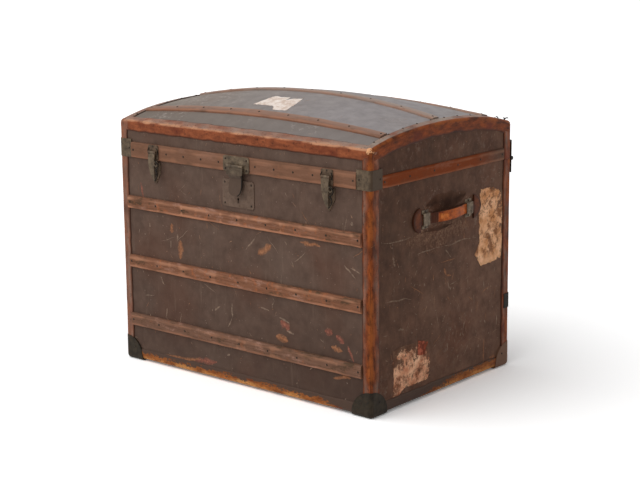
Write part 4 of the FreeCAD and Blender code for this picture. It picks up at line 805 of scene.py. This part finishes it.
def strap(end, side, distance, half, grow, rim, seed):
    """A superellipse section carried along the strap: a flat run on the end face, then an arc that bows
    out towards the grip's middle. Distance is measured from the middle, half is half the width."""
    turn = np.linspace(0, 2 * np.pi, STRAP_SPOKES, endpoint=False)[None, :]
    across = half[:, None] * np.sign(np.cos(turn)) * np.abs(np.cos(turn)) ** 0.4
    off = (STRAP_THICK / 2 + grow[:, None]) * np.sign(np.sin(turn)) * np.abs(np.sin(turn)) ** 0.55
    arc = BOW - BOW_RADIUS + np.sqrt(BOW_RADIUS ** 2 - np.minimum(np.abs(distance), BEND_HALF) ** 2)
    away = np.where(np.abs(distance) < BEND_HALF, arc, LIFT)
    off = off + 0.25 * lumps(len(distance), STRAP_SPOKES, (8, 5), seed) * (off > 0)
    x = end * (END + away[:, None] + STRAP_THICK / 2 + off)
    y = GRIP_Y + side * distance[:, None] + 0 * off
    wear = (off > 0) * (1 - np.abs(across) / 34) * (0.8 + 0.3 * ripple(len(distance), 8, seed + 1)[:, None])
    return {"points": np.stack([x, y, GRIP_Z + across], axis=-1), "wear": wear,
            "rim": np.clip(rim(distance[:, None], across, half[:, None]), 0, 0.9) + 0 * off}


# %% Dirt and painted shadow on a strap

def edge_dirt(distance, across, half):
    """Dark along both edges of a plain strap."""
    return (np.abs(across) / np.maximum(half, 1) - 0.86) / 0.1


def moon_dirt_and_shadow(distance, across, half):
    """Nearly black round the half moon's outline, partly dirt and partly painted shadow of its raised edge;
    dark inside it, beyond the bridge and along the edges.
    """
    beyond = np.hypot(distance - SHOULDER, across) / MOON
    moon = np.maximum(np.maximum((beyond - 0.70) / 0.08, (SHOULDER + 4 - distance) / 2), 0.78)
    plain = np.maximum(edge_dirt(distance, across, half), (distance - BRIDGE) / 15)
    return np.where(distance > SHOULDER, moon, plain)


def wound_dirt(distance, across, half):
    """The same, and dark where cord is wound on beside the bridge."""
    wound = (distance > WOUND_FROM) & (distance < WOUND_TO)
    return np.maximum(moon_dirt_and_shadow(distance, across, half), np.where(wound, 0.85, 0))


# %% [markdown]
# The half moon is the strap's own end, wider than the rest: its half width follows a circle past the
# shoulder. Turns of cord wound on the front part of each strap swell it in half waves.

# %% Grips and strap ends
BLEND_FROM, BLEND_TO, GRIP_HALF, TAB_FROM = 44, 70, 41, 39
straight_run = np.linspace(TAB_FROM, SHOULDER - 0.7, 60)
reach = np.concatenate([straight_run, SHOULDER + MOON * np.sin(np.linspace(0, np.pi / 2, 18))])
round_half = np.sqrt(np.maximum(MOON ** 2 - (reach - SHOULDER) ** 2, 1e-6))
moon_half = np.where(reach < SHOULDER, STRAP_HALF, round_half)
wound = (reach > WOUND_FROM) & (reach < WOUND_TO)
turns = np.where(wound, 0.9 * np.abs(np.sin((reach - WOUND_FROM) * np.pi / CORD_WIDE)), 0)
middle = np.linspace(-GRIP_HALF, GRIP_HALF, 36)
for end, hand in ((-1, "left"), (1, "right")):
    grip = strap(end, 1, middle, STRAP_HALF + 0.5 + 0 * middle, 0.4 + 0 * middle, edge_dirt, 260 + end)
    piece(f"leather_{hand}_grip", [grip], f"{hand}_handle", strap_leather, [f"{hand}_grip"])
    for side, way, dirt, grow in ((-1, "front", wound_dirt, turns), (1, "rear", moon_dirt_and_shadow, 0 * turns)):
        shape = strap(end, side, reach, moon_half, grow, dirt, 270 + end + 3 * side)
        tabs = [f"{hand}_{way}_tab"] + ([f"{hand}_strap_bends"] if way == "front" else [])
        made = piece(f"leather_{hand}_{way}_strap", [shape], None, strap_leather, tabs)
        start, stop = ((end * (END + 5) * MM, (GRIP_Y + side * place) * MM, GRIP_Z * MM)
                       for place in (BLEND_FROM, BLEND_TO))
        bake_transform(made)
        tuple(start)
        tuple(stop)

# %% [markdown]
# Travel leaves its marks on the paint: gouges that show the tan cloth, pink scrapes, and thin pale
# scratches. Each is a flat spindle on the cover, a fraction of a millimetre high. It is drawn on a face's own
# two directions, and a function carries it to the front, an end, the back or the dome. The larger ones are
# listed one by one, and seeded nicks and fine scratches fill the rest.

# %% Where a mark lies

def on_wall(axis, face, way):
    """A function that carries places along and up a wall to the model, off its face by a height. The axis
    is the wall's own: 0 for an end, 1 for the front or back."""
    def carry(along, up, height):
        """Off the wall by a height."""
        off = face + way * height
        return np.stack([along, off, up] if axis else [off, along, up], axis=-1)
    return carry


on_front, on_back = on_wall(1, FRONT, -1), on_wall(1, BACK, 1)
on_right, on_left = on_wall(0, END, 1), on_wall(0, -END, -1)
print("a point on the dome", np.round(on_dome(*np.zeros((3, 1))), 1))

# %% [markdown]
# Under the paint the cloth is tan, and a fresh gouge is more orange, a scrape against red luggage more pink.
# The mark's tone picks between them, and its wear, highest on the middle line, is broken up by a fine field,
# so an edge crumbles into the paint round it.

# %% Bare cloth
bare_cloth, tree, place = finish("bare_canvas_marks", Roughness=0.75, Specular_IOR_Level=0.1)
cover, mottle = cover_colour(tree, place)
tone, wear = (add(tree, "Attribute", out="Fac", attribute_name=name) for name in ("tone", "wear"))
crumb = add(tree, "TexNoise", {"Vector": place, "Scale": 1 / (7 * MM), "Detail": 5.0, "Roughness": 0.7})
cloth = coats(tree, "#a08b78", ("#a56b47", tone, 0, 0.5, 1), ("#9a5546", tone, 0.5, 1, 1),
              ("#c79a78", crumb, 0.48, 0.68, 0.35))
shown = add(tree, "Math", {0: wear, 1: crumb}, operation="ADD")
surface(tree, coats(tree, cover, (cloth, shown, 0.60, 1.05, 0.85)))
print("bare cloth nodes", len(tree.nodes))

# %% [markdown]
# A mark is one spindle between two places. Short nicks are common on an old trunk and long ones rare, so
# their lengths follow a high power of a random share, and most stand nearly upright.

# %% Spindles
PALE, TAN, PINK = 0.0, 0.5, 1.0
HEIGHTS, BARENESS = np.array([0.02, 0.3, 0.02, -0.3]), np.array([0.2, 0.5, 0.2, 0.3])


def mark(carry, start, stop, width, tone, seed, rings=9, strength=1.0):
    """A spindle from start to stop: half its width follows the root of the sine of the share travelled, and
    a ripple bends and widens it. Four points make each ring: two edges, a low top and a base."""
    share = np.linspace(0.01, 0.99, rings)
    start, run = np.array(start, float), np.subtract(stop, start)
    side = np.array([-run[1], run[0]]) / np.hypot(*run)
    line = start + share[:, None] * run + 0.03 * np.hypot(*run) * ripple(rings, 5, seed)[:, None] * side
    half = width / 2 * np.sqrt(np.sin(np.pi * share)) * (1 + 0.3 * ripple(rings, rings, seed + 1))
    flat = line[:, None] + (half[:, None] * np.array([-1, 0, 1, 0]))[..., None] * side
    height = HEIGHTS + 0 * half[:, None]
    return {"points": carry(flat[..., 0], flat[..., 1], height), "wear": strength * BARENESS + 0 * height,
            "tone": np.full(height.shape, tone)}


def nicks(carry, count, low, high, seed, longest=14.0, wide=(1.2, 2.6), sway=0.5):
    """Small spindles strewn over a face between two corners, leaning from upright by a normal sway."""
    rng = np.random.default_rng(seed)
    start = rng.uniform(low, high, (count, 2))
    long = 2.5 + longest * rng.uniform(0, 1, count) ** 4
    lean = rng.normal(np.pi / 2, sway, count)
    stop = start + long[:, None] * np.stack([np.cos(lean), np.sin(lean)], axis=-1)
    return [mark(carry, start[number], stop[number], rng.uniform(*wide), rng.choice((PALE, PALE, 0.25, TAN)),
                 seed + number, rings=5, strength=rng.uniform(0.5, 1)) for number in range(count)]


# %% [markdown]
# Marks listed one by one give a start, a stop and a width, along and up their wall. Nicks give how many, two
# corners of the field that they are strewn over, a seed, and where it differs the longest, widths and sway.

# %% Places of the marks
GOUGES = ((-235, 385, -235, 360, 14), (-205, 345, -205, 295, 20), (60, 345, 105, 375, 20),
          (115, 150, 155, 145, 24), (290, 155, 325, 150, 16), (195, 395, 260, 395, 11),
          (295, 80, 350, 90, 10), (-300, 25, -100, 45, 9))
SCRAPES = ((130, 190, 160, 175, 28), (270, 190, 295, 190, 20), (305, 185, 330, 170, 20),
           (340, 165, 360, 130, 8), (-165, 35, -85, 45, 18), (-345, 480, -335, 440, 8))
SCRATCHES = ((-315, 375, -315, 365, 6), (-240, 340, -240, 320, 4), (-215, 360, -215, 345, 6),
             (-280, 240, -270, 220, 5), (55, 390, 20, 350, 4), (330, 360, 365, 330, 5),
             (350, 355, 380, 345, 4), (65, 215, 95, 210, 5), (125, 200, 160, 190, 7),
             (150, 170, 175, 165, 6), (-30, 210, -30, 170, 5), (-30, 170, -45, 145, 4),
             (-90, 180, -70, 195, 5), (-260, 160, -265, 130, 4), (-50, 70, -40, 75, 6),
             (355, 465, 355, 455, 9), (-340, 180, -305, 185, 3))
END_SCRATCHES = ((-240, 410, -120, 410, 4), (-110, 365, 5, 365, 4), (5, 365, 120, 365, 5),
                 (10, 355, 35, 330, 6), (-200, 375, -190, 350, 9), (-230, 270, -125, 260, 4),
                 (-180, 195, -155, 190, 7), (0, 175, 10, 190, 6))
END_GOUGES = ((5, 310, 15, 290, 8), (15, 290, 35, 285, 7), (205, 35, 230, 35, 14), (180, 95, 180, 30, 6))
PLACED = ((on_front, TAN, GOUGES, 1, 300), (on_front, PINK, SCRAPES, 0.9, 340),
          (on_front, PALE, SCRATCHES, 0.75, 380), (on_right, PALE, END_SCRATCHES, 0.6, 440),
          (on_right, TAN, END_GOUGES, 0.8, 470))
CHEST_NICKS = ((on_front, 170, (-385, 30), (385, 530), 500), (on_right, 90, (-255, 30), (255, 530), 690),
               (on_right, 60, (20, 60), (245, 260), 1240, 30, (2, 4)),
               (on_right, 40, (-200, 200), (120, 420), 1440, 20, (2, 4)),
               (on_left, 80, (-255, 30), (255, 530), 790), (on_back, 110, (-370, 30), (370, 530), 880),
               (on_front, 110, (-375, 60), (360, 470), 1600, 75, (1.0, 2.2), 1.3),
               (on_right, 60, (-240, 60), (240, 470), 1800, 60, (1.2, 2.6), 1.3))
LID_NICKS = ((on_front, 22, (-370, 594), (370, 608), 950, 6),
             (on_right, 14, (-245, 585), (245, 625), 980, 8),
             (on_left, 14, (-245, 585), (245, 625), 1000, 8),
             (on_dome, 60, (-370, -240), (370, 250), 1020, 20))

# %% Marks on chest and lid
chest_marks = [mark(carry, row[:2], row[2:4], row[4], tone, seed + number, strength=strength)
               for carry, tone, rows, strength, seed in PLACED for number, row in enumerate(rows)]
chest_marks.append(mark(on_right, (-150, 400), (115, 402), 75, 0.25, 1320, 25, 0.36))
chest_marks += [nick for row in CHEST_NICKS for nick in nicks(*row)]
piece("chest_marks", chest_marks, "chest", bare_cloth)
piece("lid_marks", [nick for row in LID_NICKS for nick in nicks(*row)], "lid", bare_cloth)

# %% [markdown]
# Paper that was pasted on has mostly been torn away again. What is left is blank and has a ragged outline.
# Rays from the middle of a scrap reach a drawn outline that a ripple makes rough; rings go out
# over its top and come back under it. Where paper has been rubbed through, the paint shows.

# %% Paper
TEAR, TOP_RINGS, UNDER_RINGS = 1.6, 12, 4


def paper_finish(name, pale, mid, stain, rubbed, gone=(1.0, 2.0), clean=0.0):
    """Old pasted paper: two shades by finger-sized mottling, stains in blotches and specks. The paint shows
    where a field is above a value, and more so between two heights, up to where the paper is gone. Below a
    clean height there are few stains."""
    made, tree, place = finish(name, Roughness=0.85, Specular_IOR_Level=0.1)
    cover, mottle = cover_colour(tree, place)
    cloud, fine, hole = (
        add(tree, "TexNoise", {"Vector": place, "Scale": 1 / (size * MM),
                               "Detail": detail, "Roughness": rough})
        for size, detail, rough in ((32, 5, 0.65), (20, 6, 0.72), (30, 6, 0.74)))
    height = add(tree, "SeparateXYZ", {0: place}, "Z")
    above = add(tree, "MapRange", {"Value": height, "From Min": clean, "From Max": clean + 0.02,
                                   "To Min": 0.15})
    torn = add(tree, "Attribute", out="Fac", attribute_name="wear")
    hole = add(tree, "Math", {0: torn, 1: 0.10, 2: hole}, operation="MULTIPLY_ADD")
    lost = add(tree, "MapRange", {"Value": height, "From Min": gone[0], "From Max": gone[1], "To Max": 0.22})
    hole = add(tree, "Math", {0: hole, 1: lost}, operation="ADD")
    sheet = coats(tree, mid, (pale, cloud, 0.38, 0.62, 1), (stain, fine, 0.46, 0.58, 0.85, above),
                  (cover, hole, rubbed, rubbed + 0.04, 0.92))
    surface(tree, sheet, fine, 0.4, 0.0006)
    return made


# %% Outline of a scrap

def scrap(carry, outline, seed):
    """Rings of a flat scrap: shares of the way from its middle to its outline, first on top, then below."""
    turns = np.array(outline + outline[:1], float)
    travelled = np.concatenate([[0], np.cumsum(np.hypot(*np.diff(turns, axis=0).T))])
    count = int(travelled[-1] / 3)
    along = np.linspace(0, travelled[-1], count, endpoint=False)
    rim = np.stack([np.interp(along, travelled, turns[:, axis]) for axis in (0, 1)], axis=-1)
    rim += TEAR * np.stack([ripple(count, count // 2, seed), ripple(count, count // 2, seed + 1)], axis=-1)
    middle = rim.mean(axis=0)
    share = np.concatenate([np.linspace(0.01, 1, TOP_RINGS), np.linspace(1, 0.01, UNDER_RINGS)])[:, None]
    flat = middle + share[..., None] * (rim - middle)
    top = np.arange(len(share))[:, None] < TOP_RINGS
    height = np.where(top, 0.45 + 0.12 * lumps(len(share), count, (6, 12), seed + 2), -0.3)
    return {"points": carry(flat[..., 0], flat[..., 1], height), "wear": share ** 6 + 0 * height}


# %% [markdown]
# Three scraps lie on the right end, a small red one on top of another, and one on the dome. Their outlines
# are drawn along and up the face that carries them.

# %% Scraps of paper
on_paper = on_wall(0, END + 0.7, 1)
TALL = [(160, 480), (205, 480), (255, 465), (260, 335), (250, 290), (160, 285), (135, 320), (155, 345),
        (150, 435), (155, 475)]
LOW = [(-200, 145), (-170, 150), (-60, 145), (-50, 90), (-60, 45), (-155, 45), (-180, 30), (-200, 35),
       (-195, 75)]
RED = [(-100, 150), (-60, 140), (-75, 110), (-105, 115)]
TOP = [(-60, -155), (-50, -85), (-25, -90), (0, -85), (5, -110), (15, -95), (40, -85), (55, -125), (60, -170),
       (20, -175), (5, -155), (-30, -155)]
tall_paper = paper_finish("yellowed_label_paper", "#fac49a", "#d69666", "#7c4c31", 0.66, (0.30, 0.70), 0.300)
low_paper = paper_finish("scraped_label_paper", "#f8c49e", "#cc8664", "#714431", 0.61, (0.09, 0.16))
red_paper = paper_finish("red_label_paper", "#c86f55", "#9a4a34", "#5f3023", 0.58)
top_paper = paper_finish("bleached_label_paper", "#fdf1e8", "#f3e3d8", "#d8bfae", 0.74)
piece("tall_paper_scrap", [scrap(on_right, TALL, 1100)], "chest", tall_paper)
piece("low_paper_scrap", [scrap(on_right, LOW, 1110)], "chest", low_paper)
piece("red_paper_scrap", [scrap(on_paper, RED, 1130)], "chest", red_paper)
piece("dome_paper_scrap", [scrap(on_dome, TOP, 1140)], "lid", top_paper)

# %% [markdown]
# A dark patch on the canvas round each grip is painted shadow of the strap that bows off the end. At the
# back of the trunk a few nails have worked loose and bent over. The painted shadow is a mark of its own
# finish, and a bent nail is a thin tube along a curve.

# %% Painted shadows round the grips
grip_shadow_paint, tree, place = finish("painted_grip_shadow", Roughness=0.7, Specular_IOR_Level=0.04)
cover, mottle = cover_colour(tree, place)
wear = add(tree, "Attribute", out="Fac", attribute_name="wear")
shown = add(tree, "Math", {0: wear, 1: mottle}, operation="ADD")
surface(tree, coats(tree, cover, ("#2c1a12", shown, 0.68, 1.0, 0.85)))
# Painted shadow of each bowed strap: a wide patch behind and above the grip, and a fainter one below.
stains = [mark(carry, (-70, 474), (95, 478), 44, 0, 1200) for carry in (on_right, on_left)]
stains += [mark(carry, (-95, 412), (40, 416), 26, 0, 1210, strength=0.7) for carry in (on_right, on_left)]
piece("painted_grip_shadows", stains, "chest", grip_shadow_paint)

# %% Bent wire and nails

def wire(foot, over, tip, radius=2.0):
    """A round wire whose middle line is a curve of second degree from its foot, towards over, to its tip.
    It gets thinner along the way."""
    share = np.linspace(0, 1, 9)[:, None]
    foot, over, tip = (np.array(point, float) for point in (foot, over, tip))
    line = foot * (1 - share) ** 2 + 2 * over * share * (1 - share) + tip * share ** 2
    ahead = unit(2 * (over - foot) * (1 - share) + 2 * (tip - over) * share)
    side = unit(np.cross(ahead, np.array([0.3, 0.2, 0.9])))
    turn = np.linspace(0, 2 * np.pi, 8, endpoint=False)[None, :, None]
    ring = np.cos(turn) * side[:, None] + np.sin(turn) * np.cross(ahead, side)[:, None]
    return {"points": line[:, None] + radius * (1 - 0.4 * share[..., None]) * ring}


LOOSE = (((-26, -14, 0), (-27, -12, 9), (-37, -8, 9)), ((-12, -10, 0), (-10, -6, 10), (-4, -1, 6)),
         ((-6, -20, 0), (-4, -18, 8), (-11, -12, 9)))
rear_corner = np.array([END, BACK, float(dome_height(np.array(END - 20), np.array(BACK - 12)))])
loose = [wire(*(rear_corner + np.array(curve))) for curve in LOOSE]
piece("bent_lid_nails", loose, "lid", black_iron)
loose = [wire((END - 10, BACK + 2, 168), (END - 9, BACK + 12, 164), (END - 8, BACK + 15, 174))]
piece("bent_back_nail", loose, "chest", black_iron)

# %% [markdown]
# A wire spring is bent round each catch: two prongs stand on the lid's plate and a loop follows the lever. A
# black hook of the same wire along the right edge of the hasp's tongue is painted shadow of that edge. They
# are too thin to matter to the fit, so they are only drawn here: the same tube along a curve, placed by the
# box of the lever or tongue beside it.

# %% Wire springs
SPRING, PRONG, PLATE_THICK, PIN = 1.8, 1.4, 2.5, 11
LOOPS = (((8, 0.3), (30, 0.45), (9, 0.6)), ((9, 0.6), (24, 0.75), (5, 0.95)))
prongs, plate = [], corners("front_band")[0][1] - PLATE_THICK
for hand in ("left", "right"):
    low, high = corners(f"{hand}_catch_lever")
    x, out, top, tall = (low[0] + high[0]) / 2, low[1], high[2], high[2] - low[2]
    loops = [wire(*((x + aside, out, top - share * tall) for aside, share in curve), SPRING)
             for curve in LOOPS]
    piece(f"{hand}_catch_wire", loops, f"{hand}_catch", black_iron)
    pin = low[0] + PIN
    prongs += [wire((pin + side * 15, plate, top - 10), (pin + side * 20, plate - 2, top),
                    (pin + side * 13, plate - 1, top + 7), PRONG) for side in (-1, 1)]
piece("catch_prongs", prongs, "lid", black_iron)
# A black wire along the tongue's right edge stands for the shadow there.
low, high = corners("hasp")
tongue_shadow_wire = wire((high[0] - 1, low[1] + 1, SEAM - 4), (high[0] + 2, low[1] + 1, low[2] + 10),
            (high[0] - 16, low[1] + 1, low[2] + 1), SPRING)
piece("hasp_shadow_wire", [tongue_shadow_wire], "hasp", black_iron)

# %% [markdown]
# The camera is a little above the lid and off the front right corner, far enough away to keep the edges
# nearly parallel. Its focal length and shift are in pixels of the picture, which is 640 wide.

# %% Camera
AZIMUTH, ELEVATION, ROLL = np.radians([40.21, 11.63, -0.52])
TARGET, DISTANCE = Vector((0.0211, 0.0, 0.3931)), 4.1168
SENSOR, PICTURE_WIDE, FOCAL_PIXELS, SHIFT_PIXELS = 36, 640, 1601, -35.5
back = Vector((np.sin(AZIMUTH) * np.cos(ELEVATION), -np.cos(AZIMUTH) * np.cos(ELEVATION), np.sin(ELEVATION)))
right = Vector((np.cos(AZIMUTH), np.sin(AZIMUTH), 0))
up = back.cross(right)
side = right * np.cos(ROLL) + up * np.sin(ROLL)
top = up * np.cos(ROLL) - right * np.sin(ROLL)
lens = bpy.data.cameras.new("camera")
lens.sensor_width, lens.lens = SENSOR, SENSOR * FOCAL_PIXELS / PICTURE_WIDE
lens.shift_y = SHIFT_PIXELS / PICTURE_WIDE
camera = bpy.data.objects.new("camera", lens)
bpy.context.scene.collection.objects.link(camera)
spot = TARGET + back * DISTANCE
camera.matrix_world = Matrix.Translation(spot) @ Matrix((side, top, back)).transposed().to_4x4()
bpy.context.scene.camera = camera
print("camera at", tuple(round(value, 3) for value in spot))

# %% [markdown]
# The floor is white card. Diffuse light makes its shadows, and a little extra brightness that only the
# camera and reflections see lifts it to the white of a studio sweep. The sky gives soft light from all
# round, and one broad lamp from the front left makes the end darker than the front.

# %% Floor
FLOOR_HALF, CARD_WHITE, CARD_GLOW = 40.0, 1.35, 0.1
WHITE = (1, 1, 1, 1)


def seen_by(tree):
    """One for rays from the camera, and for those that reach it by a reflection or through glass."""
    seen = add(tree, "LightPath", out="Is Camera Ray")
    for ray in ("Is Glossy Ray", "Is Transmission Ray"):
        seen = add(tree, "Math", {0: seen, 1: add(tree, "LightPath", out=ray)}, operation="ADD")
    return seen


floor_mesh = bpy.data.meshes.new("floor")
floor_mesh.from_pydata([(x * FLOOR_HALF, y * FLOOR_HALF, 0) for x, y in ((-1, -1), (1, -1), (1, 1), (-1, 1))],
                       [], [(0, 1, 2, 3)])
floor = bpy.data.objects.new("floor", floor_mesh)
bpy.context.scene.collection.objects.link(floor)
card, tree, place = finish("white_card", Roughness=0.9, Emission_Color=WHITE)
seen = seen_by(tree)
surface(tree, coats(tree, "#f4f4f4", ((CARD_WHITE, CARD_WHITE, CARD_WHITE, 1), seen, 0, 1, 1)))
glow = add(tree, "Math", {0: seen, 1: CARD_GLOW}, operation="MULTIPLY")
tree.links.new(glow, tree.nodes["Principled BSDF"].inputs["Emission Strength"])
floor_mesh.materials.append(card)

# %% Sky and window
SKY_STRENGTH, WINDOW_STRENGTH = 0.37, 1.8
WINDOW_ANGLE, WINDOW_FROM = np.radians(70), Vector((-0.55, -0.75, 1.15))
world = bpy.data.worlds.new("studio")
world.use_nodes = True
sky = world.node_tree
strength = add(sky, "MapRange", {"Value": seen_by(sky), "To Min": SKY_STRENGTH, "To Max": 1.0})
sky.nodes["Background"].inputs["Color"].default_value = WHITE
sky.links.new(strength, sky.nodes["Background"].inputs["Strength"])
bpy.context.scene.world = world
lamp = bpy.data.lights.new("window", "SUN")
lamp.energy, lamp.angle = WINDOW_STRENGTH, WINDOW_ANGLE
window = bpy.data.objects.new("window", lamp)
window.rotation_euler = WINDOW_FROM.to_track_quat("Z", "Y").to_euler()
bpy.context.scene.collection.objects.link(window)
bpy.context.scene.view_settings.view_transform = "Standard"
print("floor and light set")
